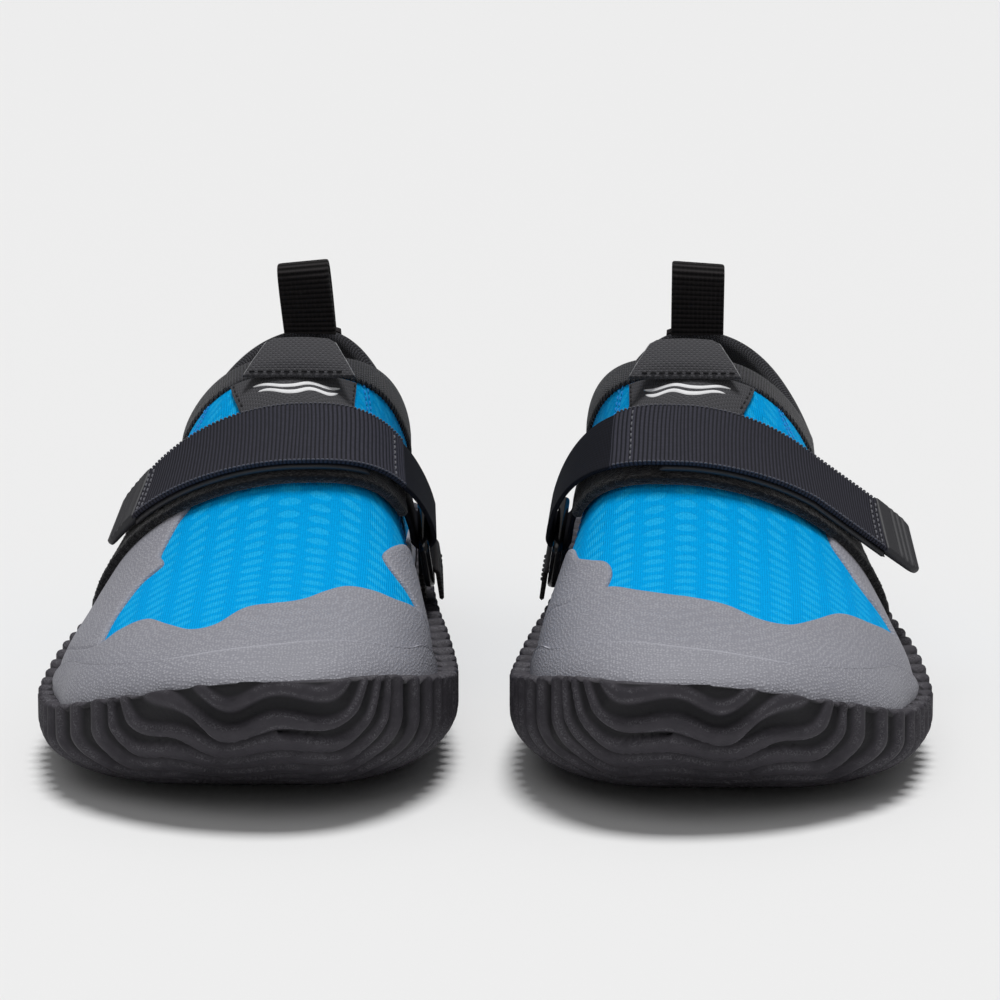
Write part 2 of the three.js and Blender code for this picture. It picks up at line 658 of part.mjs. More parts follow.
const PIECES = [
  ['outsole', outsole, BLACK_RUBBER],
  ['insole_board', insoleBoard, BOARD_FIBRE],
  ['footbed', footbed, DARK_KNIT],
  ['vamp', vamp, BLUE],
  ['medial_quarter', () => quarter(true), BLUE],
  ['lateral_quarter', () => quarter(false), BLUE],
  ['collar', collar, DARK_KNIT],
  ['toe_cap', toeCap, GREY_RUBBER],
  ['medial_wing', () => wing(true, innerWingTop, 84), GREY_RUBBER],
  ['lateral_wing', () => wing(false, outerWingTop, 97), GREY_RUBBER],
  ['heel_counter', heelCounter, GREY_RUBBER],
  ['tongue_patch', tonguePatch, BLACK_WEBBING],
  ['tongue_tab', tongueTab, BLACK_WEBBING],
  ['heel_tape', heelTape, BLACK_WEBBING],
  ['heel_loop', heelLoop, BLACK_WEBBING],
  ['pile_strap', pileStrap, BLACK_WEBBING],
  ['elastic_webbing', elasticWebbing, BLACK_WEBBING],
  ['strap_webbing', strapWebbing, BLACK_WEBBING],
  ['hook_pad', hookPad, BLACK_PLASTIC],
  ['end_tab', endTab, BLACK_PLASTIC],
  ['ring', ring, BLACK_PLASTIC],
  ['ring_anchor', ringAnchor, BLACK_WEBBING],
];

function boot(side) {
  const group = new THREE.Group();
  for (const [name, make, [color, roughness]] of PIECES) {
    const material = new THREE.MeshStandardMaterial({ color, roughness, metalness: 0 });
    const mesh = new THREE.Mesh(make(STRAP_FIT[side]), material);
    mesh.name = `${side}_${name}`;
    group.add(mesh);
  }
  return group;
}

const pair = new THREE.Group();
const right = boot('right');
right.position.set(-BOOT_SPACING / 2, -SOLE_LENGTH / 2, 0);
pair.add(right);
const left = boot('left');
left.position.set(BOOT_SPACING / 2, -SOLE_LENGTH / 2, 0);
left.scale.x = -1;
pair.add(left);

export default pair;
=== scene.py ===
"""The looks of a pair of low-cut neoprene water boots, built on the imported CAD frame.

Each boot is drawn in millimetres in its own frame: x grows towards the inner side of the foot, y runs from
the toe tip to the heel, z is up from the floor. place() turns that into metres in the frame of the CAD.
"""
import math
from contextlib import contextmanager

import bmesh
import bpy
import numpy as np
from mathutils.bvhtree import BVHTree
from mathutils.kdtree import KDTree
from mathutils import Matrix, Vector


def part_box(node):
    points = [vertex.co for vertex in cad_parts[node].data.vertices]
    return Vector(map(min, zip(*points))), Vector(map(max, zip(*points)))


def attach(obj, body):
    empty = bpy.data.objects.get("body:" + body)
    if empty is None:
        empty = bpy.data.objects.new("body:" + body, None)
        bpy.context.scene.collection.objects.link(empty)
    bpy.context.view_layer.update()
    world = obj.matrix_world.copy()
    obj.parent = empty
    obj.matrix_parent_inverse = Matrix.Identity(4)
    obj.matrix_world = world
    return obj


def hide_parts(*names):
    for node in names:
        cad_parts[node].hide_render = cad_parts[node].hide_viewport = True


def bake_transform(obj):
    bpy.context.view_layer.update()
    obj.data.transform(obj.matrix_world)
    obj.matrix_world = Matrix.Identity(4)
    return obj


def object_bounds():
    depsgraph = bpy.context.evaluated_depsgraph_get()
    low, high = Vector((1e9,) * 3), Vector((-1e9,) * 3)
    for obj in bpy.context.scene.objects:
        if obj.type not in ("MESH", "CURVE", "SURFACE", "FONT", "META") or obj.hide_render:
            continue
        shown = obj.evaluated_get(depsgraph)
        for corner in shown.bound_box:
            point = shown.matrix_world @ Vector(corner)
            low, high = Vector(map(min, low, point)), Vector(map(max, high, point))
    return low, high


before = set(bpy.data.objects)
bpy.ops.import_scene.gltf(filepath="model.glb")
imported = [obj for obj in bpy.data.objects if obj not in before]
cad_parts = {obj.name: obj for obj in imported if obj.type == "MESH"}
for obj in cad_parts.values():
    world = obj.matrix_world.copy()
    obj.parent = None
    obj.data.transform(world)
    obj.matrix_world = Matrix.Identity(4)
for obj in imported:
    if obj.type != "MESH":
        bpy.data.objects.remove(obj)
CAD_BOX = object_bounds()

MM = 0.001
RAD = math.pi / 180
SIDES = ("right", "left")

# ------------------------------------------------------------------ driving dimensions, in millimetres
SOLE_INNER_HALF = 50.5         # widest reach of the outsole on the inner side
SOLE_LENGTH = 285.0
TOE_SPRING, TOE_SPRING_LENGTH = 24.0, 62.0
HEEL_SPRING, HEEL_SPRING_LENGTH = 4.0, 22.0
SOLE_THICKNESS = 7.0
NEOPRENE = 3.0
OVERLAY = 1.15                 # height of the bonded rubber above the neoprene
BUMPER = 1.1                   # extra height of the toe bumper
RIM, BINDING = 190.0, 178.0    # stations of the collar's top and lower edges
STRAP_WIDTH, PILE_WIDTH = 22.0, 27.0
RING_BAR, RING_DROP, RING_LENGTH = 2.8, 12.0, 33.0
UNDER_PILE, UNDER_HOOK, UNDER_STRAP = 1.8, 4.2, 5.7
WEBBING, ELASTIC = 1.5, 1.3
HOOK_WIDTH = STRAP_WIDTH + 1.6

RIGHT_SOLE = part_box("right_outsole")
AXIS_X = RIGHT_SOLE[1].x - SOLE_INNER_HALF * MM
TOE_Y = RIGHT_SOLE[0].y


# ------------------------------------------------------------------ curves
def curve(pairs):
    """A smooth curve through (position, value) pairs, held constant beyond its ends."""
    places = np.array([pair[0] for pair in pairs], float)
    values = np.array([pair[1] for pair in pairs], float)
    last = len(pairs) - 1
    before = np.maximum(np.arange(last + 1) - 1, 0)
    after = np.minimum(np.arange(last + 1) + 1, last)
    slopes = (values[after] - values[before]) / (places[after] - places[before])

    def at(position):
        x = np.clip(np.asarray(position, float), places[0], places[-1])
        i = np.clip(np.searchsorted(places, x, side="right") - 1, 0, last - 1)
        span = places[i + 1] - places[i]
        u = (x - places[i]) / span
        rise = values[i] * (2 * u**3 - 3 * u**2 + 1) + values[i + 1] * (3 * u**2 - 2 * u**3)
        bend = slopes[i] * (u**3 - 2 * u**2 + u) + slopes[i + 1] * (u**3 - u**2)
        return rise + bend * span

    return at


def rounding(distance, length, power):
    """Runs from 0 at a rounded end to 1 at the given length, as a superellipse."""
    u = np.clip(np.asarray(distance, float) / length, 0, 1)
    return (1 - (1 - u) ** power) ** (1 / power)


def swell(distance, reach, least=0.0):
    """Runs round a quarter circle from 0 at an edge to 1 at the given reach."""
    return np.maximum(rounding(distance, reach, 2), least)


def smooth(value):
    """Runs from 0 to 1 with level ends."""
    u = np.clip(value, 0, 1)
    return u * u * (3 - 2 * u)


def spring(y):
    """Height of the sole's underside above the floor."""
    toe = np.maximum(1 - y / TOE_SPRING_LENGTH, 0)
    heel = np.maximum((y - SOLE_LENGTH + HEEL_SPRING_LENGTH) / HEEL_SPRING_LENGTH, 0)
    return TOE_SPRING * toe**2.2 + HEEL_SPRING * heel**2


# ------------------------------------------------------------------ the last
dorsal_y = curve([(0, 4), (50, 54), (80, 84), (95, 98), (105, 107.5), (115, 117), (125, 126), (135, 134.5),
                  (145, 141), (161, 146.5), (178, 152), (190, 160)])
dorsal_z = curve([(0, 40), (20, 43), (50, 47), (80, 52), (95, 56.5), (105, 60.8), (115, 66.5), (125, 72.8),
                  (135, 79), (145, 83.8), (161, 87.6), (178, 90.5), (190, 93)])
plantar_y = curve([(0, 4), (50, 54), (80, 84), (95, 100), (105, 116), (115, 138), (125, 168), (135, 209),
                   (145, 250), (153, 270), (161, 279), (169, 281), (178, 277), (190, 270)])
plantar_rise = curve([(0, 0), (135, 0), (145, 1), (153, 8), (161, 23), (169, 43), (178, 65), (190, 78)])
inner_half = curve([(0, 37), (26, 40.5), (56, 43), (81, 43), (105, 39.5), (125, 34.5), (145, 33), (161, 32.5),
                    (178, 31.5), (190, 31)])
outer_half = curve([(0, 32), (26, 43), (56, 49), (81, 53), (105, 50), (125, 43), (145, 38), (161, 34.5),
                    (178, 32), (190, 31)])
crest_x = curve([(0, 8), (50, 6), (108, 5), (135, 5), (160, 3), (190, 1.5)])
inner_power = curve([(0, 2.5), (60, 2.7), (125, 2.9), (150, 2.4), (190, 2.1)])
outer_power = curve([(0, 2.2), (60, 2), (95, 1.8), (125, 1.95), (150, 2.2), (190, 2.1)])
widest_at = curve([(0, 0.6), (40, 0.74), (100, 0.74), (125, 0.68), (150, 0.5), (190, 0.5)])
side_dip = curve([(0, 0), (120, 0), (135, 3), (145, 8), (153, 14), (161, 18), (169, 22), (178, 26), (190, 26)])
TIP_HEIGHT = 34.0
INNER_DIP_LAG = 1.6            # the top line stays high for longer on the inner side


def last_point(station, angle):
    """Points of the foot's last. Stations run from the toe tip over the instep to the collar; the angle is 0
    on the crest, positive towards the inner side, and pi under the foot or behind the heel."""
    s, a = np.broadcast_arrays(np.asarray(station, float), np.asarray(angle, float))
    end, end_height = rounding(s, 46, 2.3), rounding(s, 20, 2)
    across, along = np.sin(a), np.cos(a)
    inner = across >= 0
    half = np.where(inner, inner_half(s), -outer_half(s))
    top_power = np.where(inner, inner_power(s), outer_power(s))
    power = np.where(along >= 0, top_power, 3 - rounding(s - 135, 30, 1) * 0.8)
    reach = np.abs(across) ** (2 / power)
    depth = np.abs(along) ** (2 / power)
    widest = widest_at(s)
    share = np.where(along >= 0, widest * (1 - depth), widest + (1 - widest) * depth)
    top_y, low_y = dorsal_y(s), plantar_y(s)
    top_z = TIP_HEIGHT + (dorsal_z(s) - TIP_HEIGHT) * end_height
    floor_z = spring(np.minimum(low_y, 255)) + SOLE_THICKNESS + plantar_rise(s)
    low_z = TIP_HEIGHT + (floor_z - TIP_HEIGHT) * end_height
    chord = np.maximum(np.hypot(low_y - top_y, top_z - low_z), 1e-6)
    dip = side_dip(s) * np.sin(math.pi * share ** np.where(inner, INNER_DIP_LAG, 1.0))
    centre = crest_x(s)
    return np.stack([
        centre + (half - centre) * reach * end,
        top_y + (low_y - top_y) * share - dip * (top_z - low_z) / chord,
        top_z + (low_z - top_z) * share - dip * (low_y - top_y) / chord,
    ], axis=-1)


def unit(vectors):
    length = np.linalg.norm(vectors, axis=-1, keepdims=True)
    return vectors / np.maximum(length, 1e-9)


def station_tangent(s, a):
    start = np.maximum(s - 0.4, 0)
    return unit(last_point(start + 0.8, a) - last_point(start, a))


def angle_tangent(s, a):
    inside = np.maximum(s, 0.4)
    return unit(last_point(inside, a + 0.02) - last_point(inside, a - 0.02))


def last_normal(s, a):
    s, a = np.broadcast_arrays(np.asarray(s, float), np.asarray(a, float))
    normal = unit(np.cross(angle_tangent(s, a), station_tangent(s, a)))
    tip = np.array([0.0, -1.0, 0.0])
    share = smooth(s / 1.2)[..., None]
    return unit(normal * share + tip * (1 - share))


def raised(s, a, height):
    """Points at a height above the last."""
    return last_point(s, a) + last_normal(s, a) * np.asarray(height, float)[..., None]


LIE_STATIONS = np.arange(0, RIM + 1, 1.0)
LIE_ANGLES = np.arange(-180, 181, 2.0) * RAD


def path_length(points, axis=0):
    """Length gone along the points of a path, or of each path in a grid."""
    steps = np.linalg.norm(np.diff(points, axis=axis), axis=-1)
    start = np.zeros_like(np.take(steps, [0], axis=axis))
    return np.concatenate([start, np.cumsum(steps, axis=axis)], axis=axis)


def lie_tables():
    """Lengths on the last's surface, round the foot from the crest and along it from the toe."""
    grid = last_point(LIE_STATIONS[:, None], LIE_ANGLES[None, :])
    turned = path_length(grid, 1)
    middle = len(LIE_ANGLES) // 2
    return turned - turned[:, middle:middle + 1], path_length(grid)


TURNED, GONE = lie_tables()


def lie_of(s, a):
    """Where a point lies on the cloth, in millimetres: round the foot, and along it."""
    s, a = np.broadcast_arrays(np.asarray(s, float), np.asarray(a, float))
    a = (a + math.pi) % (2 * math.pi) - math.pi
    row = np.clip(s, 0, RIM - 1e-6)
    column = np.clip((a - LIE_ANGLES[0]) / (LIE_ANGLES[1] - LIE_ANGLES[0]), 0, len(LIE_ANGLES) - 1.001)
    i, j = row.astype(int), column.astype(int)
    u, v = row - i, column - j

    def sample(table):
        low = table[i, j] * (1 - v) + table[i, j + 1] * v
        high = table[i + 1, j] * (1 - v) + table[i + 1, j + 1] * v
        return low * (1 - u) + high * u

    return np.stack([sample(TURNED), sample(GONE), s], axis=-1)


# ------------------------------------------------------------------ meshes
def place(side, points):
    """Boot millimetres to metres in the CAD frame; the left boot is the mirror image."""
    points = np.asarray(points, float)
    x = AXIS_X + points[..., 0] * MM
    if side == "left":
        x = -x
    return np.stack([x, TOE_Y + points[..., 1] * MM, points[..., 2] * MM], axis=-1)


def signed_volume(points, quads):
    """Above 0 when the quads of a closed mesh face outwards."""
    a, b, c, d = (points[quads[:, k]] for k in range(4))
    first = np.einsum("ij,ij->i", a, np.cross(b, c)).sum()
    return first + np.einsum("ij,ij->i", a, np.cross(c, d)).sum()


def grid_quads(rows, columns, wrap):
    """Quads over a grid of points, which joins up round its columns when it wraps."""
    i, j = np.meshgrid(np.arange(rows - 1), np.arange(columns if wrap else columns - 1), indexing="ij")
    i, j = i.ravel(), j.ravel()
    k = (j + 1) % columns
    return np.stack([i * columns + j, i * columns + k, (i + 1) * columns + k, (i + 1) * columns + j], axis=1)


def shell_mesh(outer, inner, wrap=False):
    """Points, quads and inner-face flags of the closed body between two grids of the same size."""
    rows, columns = outer.shape[:2]
    points = np.concatenate([outer.reshape(-1, 3), inner.reshape(-1, 3)])
    under = rows * columns
    top = grid_quads(rows, columns, wrap)
    bottom = top[:, ::-1] + under
    j = np.arange(columns + 1 if wrap else columns) % columns
    i = np.arange(rows)
    borders = [(j, False), ((rows - 1) * columns + j, True)]
    if not wrap:
        borders += [(i * columns, True), (i * columns + columns - 1, False)]
    sides = []
    for border, flip in borders:
        near, far = border[:-1], border[1:]
        edge = np.stack([near, under + near, under + far, far], axis=1)
        sides.append(edge[:, ::-1] if flip else edge)
    quads = np.concatenate([top, bottom, *sides])
    inside = np.zeros(len(quads), bool)
    inside[len(top):len(top) + len(bottom)] = True
    return points, quads, inside


def add_object(name, data):
    obj = bpy.data.objects.new(name, data)
    bpy.context.scene.collection.objects.link(obj)
    return obj


def new_mesh(name, points, faces):
    mesh = bpy.data.meshes.new(name)
    mesh.from_pydata(points, [], faces)
    return mesh


@contextmanager
def editing(mesh):
    """The mesh opened for bmesh operations, and written back at the end."""
    work = bmesh.new()
    work.from_mesh(mesh)
    yield work
    work.to_mesh(mesh)
    work.free()


def dress(mesh, materials, lie, sharp, inside=None):
    """Gives a mesh its materials, its smooth shading and each point's place on the cloth."""
    if lie is not None:
        attribute = mesh.attributes.new("lie", "FLOAT_VECTOR", "POINT")
        attribute.data.foreach_set("vector", np.asarray(lie, np.float32).ravel())
    for material in materials:
        mesh.materials.append(material)
    if inside is not None and len(materials) > 1:
        mesh.polygons.foreach_set("material_index", inside.astype(np.int32))
    mesh.shade_smooth()
    mesh.set_sharp_from_angle(angle=sharp * RAD)


def assign(obj, side, body, nodes):
    """Hides the CAD nodes that a piece stands for, and hangs it on the body that it rides on when it has one.
    """
    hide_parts(*[f"{side}_{node}" for node in nodes])
    if body:
        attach(obj, f"{side}_{body}")


def add_mesh(side, name, points, quads, materials, body, nodes=(), lie=None, inside=None, sharp=38):
    """One piece of a boot as an object. Points that fell together, such as those at the toe tip, are joined."""
    world = place(side, points)
    if signed_volume(world, quads) < 0:
        quads = quads[:, ::-1]
    mesh = new_mesh(f"{side}_boot_{name}", world.tolist(), quads.tolist())
    dress(mesh, materials, lie, sharp, inside)
    mesh.validate()
    obj = add_object(mesh.name, mesh)
    with editing(mesh) as work:
        bmesh.ops.remove_doubles(work, verts=work.verts, dist=2e-6)
        bmesh.ops.dissolve_degenerate(work, edges=work.edges, dist=1e-6)
    assign(obj, side, body, nodes)
    return obj


def add_shell(side, name, outer, inner, materials, body, nodes=(), lie=None, sharp=38):
    """A piece made as the closed body between two grids."""
    points, quads, inside = shell_mesh(outer, inner)
    if lie is not None:
        lie = np.concatenate([lie.reshape(-1, 3)] * 2)
    return add_mesh(side, name, points, quads, materials, body, nodes, lie, inside, sharp)


def add_layer(side, name, s, a, top, bottom, materials, nodes=(), lie=None):
    """A piece that lies on the last, between two heights above it."""
    lie = lie_of(s, a) if lie is None else lie
    add_shell(side, name, raised(s, a, top), raised(s, a, bottom), materials, "boot", nodes, lie)


THREAD_SHARE = np.array([0, 0.1, 0.3, 0.5, 0.7, 0.9, 1.0])         # places along one stitch
THREAD_WIDTH = np.array([0.35, 0.85, 1, 1, 1, 0.85, 0.35])
THREAD_LIFT = np.array([-0.9, 0.1, 0.55, 0.65, 0.55, 0.1, -0.9])
THREAD_SIDES = 6


def add_threads(side, name, starts, ends, normals, material, body, radius):
    """Stitches: each a short thread that dips into the cloth at both ends."""
    along = unit(ends - starts)
    across = unit(np.cross(normals, along))
    out = np.cross(along, across)
    turns = np.arange(THREAD_SIDES) * 2 * math.pi / THREAD_SIDES
    centre = starts[:, None] + (ends - starts)[:, None] * THREAD_SHARE[None, :, None]
    centre = centre + out[:, None] * radius * THREAD_LIFT[None, :, None]
    ring = across[:, None, None] * np.cos(turns)[None, None, :, None]
    ring = ring + out[:, None, None] * np.sin(turns)[None, None, :, None]
    points = centre[:, :, None] + ring * radius * THREAD_WIDTH[None, :, None, None]
    count, rows, columns = points.shape[:3]
    caps = np.array([[3, 2, 1, 0], [5, 4, 3, 0]])                   # wound the same way at both ends
    one = np.concatenate([grid_quads(rows, columns, True), caps, caps + (rows - 1) * columns])
    quads = (one[None] + (np.arange(count) * rows * columns)[:, None, None]).reshape(-1, 4)
    add_mesh(side, name, points.reshape(-1, 3), quads, [material], body, sharp=80)


def resample(path, spacing):
    """Evenly spaced points along a path, as places between its own points."""
    lengths = path_length(path)
    count = max(int(round(lengths[-1] / spacing)), 1)
    return np.interp(np.linspace(0, lengths[-1], count + 1), lengths, np.arange(len(path)))


def between(values, places):
    """Values of a table at fractional row places."""
    low = np.clip(places.astype(int), 0, len(values) - 2)
    share = (places - low).reshape(-1, *([1] * (values.ndim - 1)))
    return values[low] * (1 - share) + values[low + 1] * share


def running_stitch(path, normals, stitch, gap):
    """Starts, ends and normals of the stitches along a path."""
    places = resample(path, (stitch + gap) / 2)
    count = (len(places) - 1) // 2
    starts = between(path, places[0:2 * count:2])
    ends = between(path, places[1:2 * count + 1:2])
    longer = min(stitch / (stitch + gap) * 2, 1.6)
    return starts, starts + (ends - starts) * longer, between(normals, places[0:2 * count:2])


def add_stitches(side, name, rows, material, body="boot", stitch=1.7, gap=0.7, radius=0.24):
    """Running stitches along rows, each given as a path and its normals."""
    made = [running_stitch(path, normals, stitch, gap) for path, normals in rows]
    starts, ends, normals = (np.concatenate(part) for part in zip(*made))
    add_threads(side, name, starts, ends, normals, material, body, radius)


# ------------------------------------------------------------------ materials
class Surface:
    """A material's node tree, with short calls for the nodes that these finishes need."""

    def __init__(self, name, roughness=0.8, sheen=0.0, specular=0.5):
        self.material = bpy.data.materials.new(name)
        self.material.use_nodes = True
        self.tree = self.material.node_tree
        self.shader = self.tree.nodes["Principled BSDF"]
        self.bump = None
        for socket, value in (("Roughness", roughness), ("Sheen Weight", sheen), ("Sheen Roughness", 0.45),
                              ("Specular IOR Level", specular)):
            self.shader.inputs[socket].default_value = value

    def node(self, kind, inputs=(), **settings):
        """A new node with its settings, and with values or links on its inputs, by name or by number."""
        node = self.tree.nodes.new(kind)
        for name, value in settings.items():
            setattr(node, name, value)
        for name, value in dict(inputs).items():
            self.put(node.inputs[name], value)
        return node

    def put(self, socket, value):
        if isinstance(value, bpy.types.NodeSocket):
            self.tree.links.new(value, socket)
        else:
            socket.default_value = value

    def math(self, operation, a, b=0.0, clamp=False):
        return self.node("ShaderNodeMath", {0: a, 1: b}, operation=operation, use_clamp=clamp).outputs[0]

    def times(self, a, b):
        return self.math("MULTIPLY", a, b)

    def less(self, a, b):
        return self.math("SUBTRACT", a, b)

    def vectors(self, operation, a, b):
        return self.node("ShaderNodeVectorMath", {0: a, 1: b}, operation=operation).outputs[0]

    def split(self):
        """Millimetres round the foot or across a strip, along it, and the piece's own third value."""
        place_on = self.node("ShaderNodeAttribute", attribute_name="lie").outputs["Vector"]
        return self.node("ShaderNodeSeparateXYZ", {0: place_on}).outputs

    def position(self):
        return self.node("ShaderNodeTexCoord").outputs["Object"]

    def noise(self, scale, detail=3.0, vector=None, roughness=0.55):
        inputs = {"Scale": scale, "Detail": detail, "Roughness": roughness, "Vector": vector or self.position()}
        return self.node("ShaderNodeTexNoise", inputs).outputs["Fac"]

    def cells(self, scale, vector=None, randomness=1.0):
        inputs = {"Scale": scale, "Randomness": randomness, "Vector": vector or self.position()}
        return self.node("ShaderNodeTexVoronoi", inputs, feature="F1").outputs["Distance"]

    def swing(self, value, period):
        """A sine, from -1 to 1, along a value in millimetres."""
        return self.math("SINE", self.times(value, 2 * math.pi / period))

    def ridge(self, value, period):
        """The same sine from 0 to 1."""
        return self.times(self.math("ADD", self.swing(value, period), 1.0), 0.5)

    def band(self, value, low, high):
        """Runs smoothly from 0 to 1 while the value goes from low to high."""
        inputs = {"Value": value, "From Min": low, "From Max": high}
        return self.node("ShaderNodeMapRange", inputs, interpolation_type="SMOOTHSTEP").outputs["Result"]

    def mix(self, share, a, b):
        inputs = {"Factor": share, "A": a, "B": b}
        return self.node("ShaderNodeMix", inputs, data_type="RGBA").outputs["Result"]

    def colour(self, value):
        self.put(self.shader.inputs["Base Color"], value)

    def relief(self, height, depth):
        """A bump whose height of 1 stands for a depth in millimetres."""
        node = self.node("ShaderNodeBump", {"Strength": 1.0, "Distance": depth * MM, "Height": height})
        if self.bump is not None:
            self.put(node.inputs["Normal"], self.bump)
        self.bump = node.outputs["Normal"]
        self.put(self.shader.inputs["Normal"], self.bump)


def rgb(red, green, blue):
    """A colour given as it shows on a screen, from 0 to 255."""
    def linear(value):
        share = value / 255
        return share / 12.92 if share <= 0.04045 else ((share + 0.055) / 1.055) ** 2.4
    return (linear(red), linear(green), linear(blue), 1.0)


def tinted(colour, factor, lift=0.0):
    """A colour that many times as bright."""
    return tuple(min(value * factor + lift, 1) for value in colour[:3]) + (1.0,)


OVAL_COLUMNS, OVAL_ROWS = 8.2, 5.3             # spacing of the printed ovals, in millimetres
OVAL_WIDE, OVAL_TALL, OVAL_STAGGER = 3.1, 1.75, 1.6


def blue_neoprene():
    """Stretch cloth with fine upright knit lines, painted darker between them as shade, and rows of lighter
    ovals.
    """
    surface = Surface("blue_neoprene", roughness=0.9, specular=0.04)
    across, along, _ = surface.split()
    column = surface.math("DIVIDE", across, OVAL_COLUMNS)
    number = surface.math("ROUND", column)
    odd = surface.math("MODULO", surface.math("ABSOLUTE", number), 2.0)
    row = surface.math("DIVIDE", surface.math("ADD", along, surface.times(odd, OVAL_STAGGER)), OVAL_ROWS)
    from_column = surface.times(surface.less(column, number), OVAL_COLUMNS)
    from_row = surface.times(surface.less(row, surface.math("ROUND", row)), OVAL_ROWS)
    wide = surface.math("POWER", surface.math("DIVIDE", from_column, OVAL_WIDE), 2.0)
    tall = surface.math("POWER", surface.math("DIVIDE", from_row, OVAL_TALL), 2.0)
    wobble = surface.times(surface.less(surface.noise(900, 2), 0.5), 0.5)
    oval = surface.math("ADD", surface.math("ADD", wide, tall), wobble)
    dot = surface.math("SUBTRACT", 1.0, surface.band(oval, 0.55, 1.15), clamp=True)
    lines = surface.ridge(across, 0.62)
    heather = surface.band(surface.noise(1500, 2), 0.3, 0.7)
    base = surface.mix(heather, rgb(0, 158, 228), rgb(0, 172, 240))
    light = surface.mix(heather, rgb(16, 178, 236), rgb(48, 194, 248))
    cloth = surface.mix(surface.times(dot, 0.6), base, light)
    # Painted shade: the grooves between the knit lines are mixed towards a deep blue.
    surface.colour(surface.mix(surface.times(surface.less(1.0, lines), 0.22), cloth, rgb(0, 84, 160)))
    surface.relief(lines, 0.10)
    surface.relief(surface.ridge(along, 0.5), 0.05)
    surface.relief(dot, -0.12)
    surface.relief(surface.noise(120, 2), 0.25)
    return surface.material


def grey_rubber():
    """Thin bonded rubber with a fine wrinkled grain. The third value is a painted highlight that lightens the
    bumper's edge.
    """
    surface = Surface("grey_rubber", roughness=0.62, specular=0.35)
    _, _, edge = surface.split()
    start = surface.position()
    drift = surface.vectors("MULTIPLY", surface.noise(90, 2, start), (0.0025, 0.0015, 0.002))
    grain = surface.cells(1250, surface.vectors("ADD", start, drift), randomness=0.55)
    pits = surface.band(grain, 0.1, 0.62)
    tone = surface.mix(surface.noise(40, 4), rgb(156, 156, 163), rgb(168, 168, 176))
    # Painted shade: the recessed pits of the grain are coloured darker.
    pit_shaded = surface.mix(surface.times(pits, 0.6), tone, rgb(112, 112, 121))
    # The third value mixes in a pale grey: a painted highlight along the bumper's edge.
    surface.colour(surface.mix(surface.times(edge, 0.8), pit_shaded, rgb(196, 196, 206)))
    surface.relief(pits, -0.13)
    surface.relief(surface.noise(260, 3), 0.12)
    return surface.material


def sole_rubber():
    """Matt black rubber. The third value is the place on a lug, whose shoulders are scuffed and dusty and whose
    grooves are painted darker as shade.
    """
    surface = Surface("sole_rubber", roughness=0.7, specular=0.32)
    _, _, lug = surface.split()
    shoulder = surface.times(surface.band(lug, 0.35, 0.8), surface.less(1.0, surface.band(lug, 0.93, 1.0)))
    specks = surface.band(surface.noise(2400, 3, roughness=0.7), 0.46, 0.62)
    patches = surface.band(surface.noise(150, 3), 0.35, 0.58)
    dust = surface.times(surface.times(shoulder, specks), patches)
    tone = surface.mix(surface.noise(300, 3), rgb(48, 46, 52), rgb(66, 63, 69))
    # Painted shade: the grooves between the lugs are coloured near black.
    groove_shaded = surface.mix(surface.band(lug, 0.0, 0.6), rgb(24, 23, 27), tone)
    surface.colour(surface.mix(surface.times(dust, 0.5), groove_shaded, rgb(112, 111, 116)))
    surface.relief(surface.noise(1500, 3, roughness=0.7), 0.12)
    surface.relief(surface.noise(200, 2), 0.5)
    return surface.material


def knit(name, dark, light, period):
    """Soft knit: upright ribs crossed by small loops, with painted shade between them."""
    surface = Surface(name, roughness=0.92, sheen=0.2, specular=0.2)
    across, along, _ = surface.split()
    ribs = surface.ridge(across, period)
    slope = surface.times(surface.math("ABSOLUTE", surface.less(ribs, 0.5)), period)
    loops = surface.ridge(surface.math("ADD", along, slope), period * 0.8)
    tone = surface.mix(surface.noise(1100, 2), dark, light)
    # Painted shade: the hollows between the ribs and loops are coloured near black.
    surface.colour(surface.mix(surface.times(ribs, loops), rgb(24, 24, 27), tone))
    surface.relief(ribs, 0.16)
    surface.relief(loops, 0.12)
    return surface.material


def webbing(name, base, pick, cross, depth, roughness=0.8, sheen=0.06):
    """Woven tape: picks across its width, with fainter lines along it, and painted shade between the picks."""
    surface = Surface(name, roughness=roughness, sheen=sheen, specular=0.2)
    across, along, _ = surface.split()
    picks = surface.ridge(along, pick)
    tone = surface.mix(surface.noise(700, 2), base, tinted(base, 1.7))
    # Painted shade: the hollows between the picks are coloured at about a third of the base.
    surface.colour(surface.mix(surface.band(picks, 0.0, 0.8), tinted(base, 0.35), tone))
    surface.relief(picks, depth)
    surface.relief(surface.ridge(across, cross), depth * 0.6)
    return surface.material


WEAVE_PERIOD = 1.5


def basket_cloth():
    """Coarse plain weave: over and under squares."""
    surface = Surface("tab_cloth", roughness=0.72, sheen=0.05, specular=0.35)
    across, along, _ = surface.split()
    squares = surface.times(surface.swing(across, WEAVE_PERIOD), surface.swing(along, WEAVE_PERIOD))
    tone = surface.mix(surface.band(squares, -0.6, 0.6), rgb(46, 46, 49), rgb(78, 77, 81))
    surface.colour(surface.mix(surface.noise(900, 2), tone, rgb(58, 58, 62)))
    surface.relief(surface.math("ABSOLUTE", squares), 0.14)
    surface.relief(surface.noise(1300, 2), 0.08)
    return surface.material


def pile():
    """Fuzzy loop pile."""
    surface = Surface("pile_fabric", roughness=1.0, sheen=0.35, specular=0.1)
    fuzz = surface.noise(1700, 4, roughness=0.8)
    surface.colour(surface.mix(surface.band(fuzz, 0.35, 0.75), rgb(10, 10, 12), rgb(40, 40, 44)))
    surface.relief(fuzz, 0.5)
    surface.relief(surface.noise(500, 3), 0.6)
    return surface.material


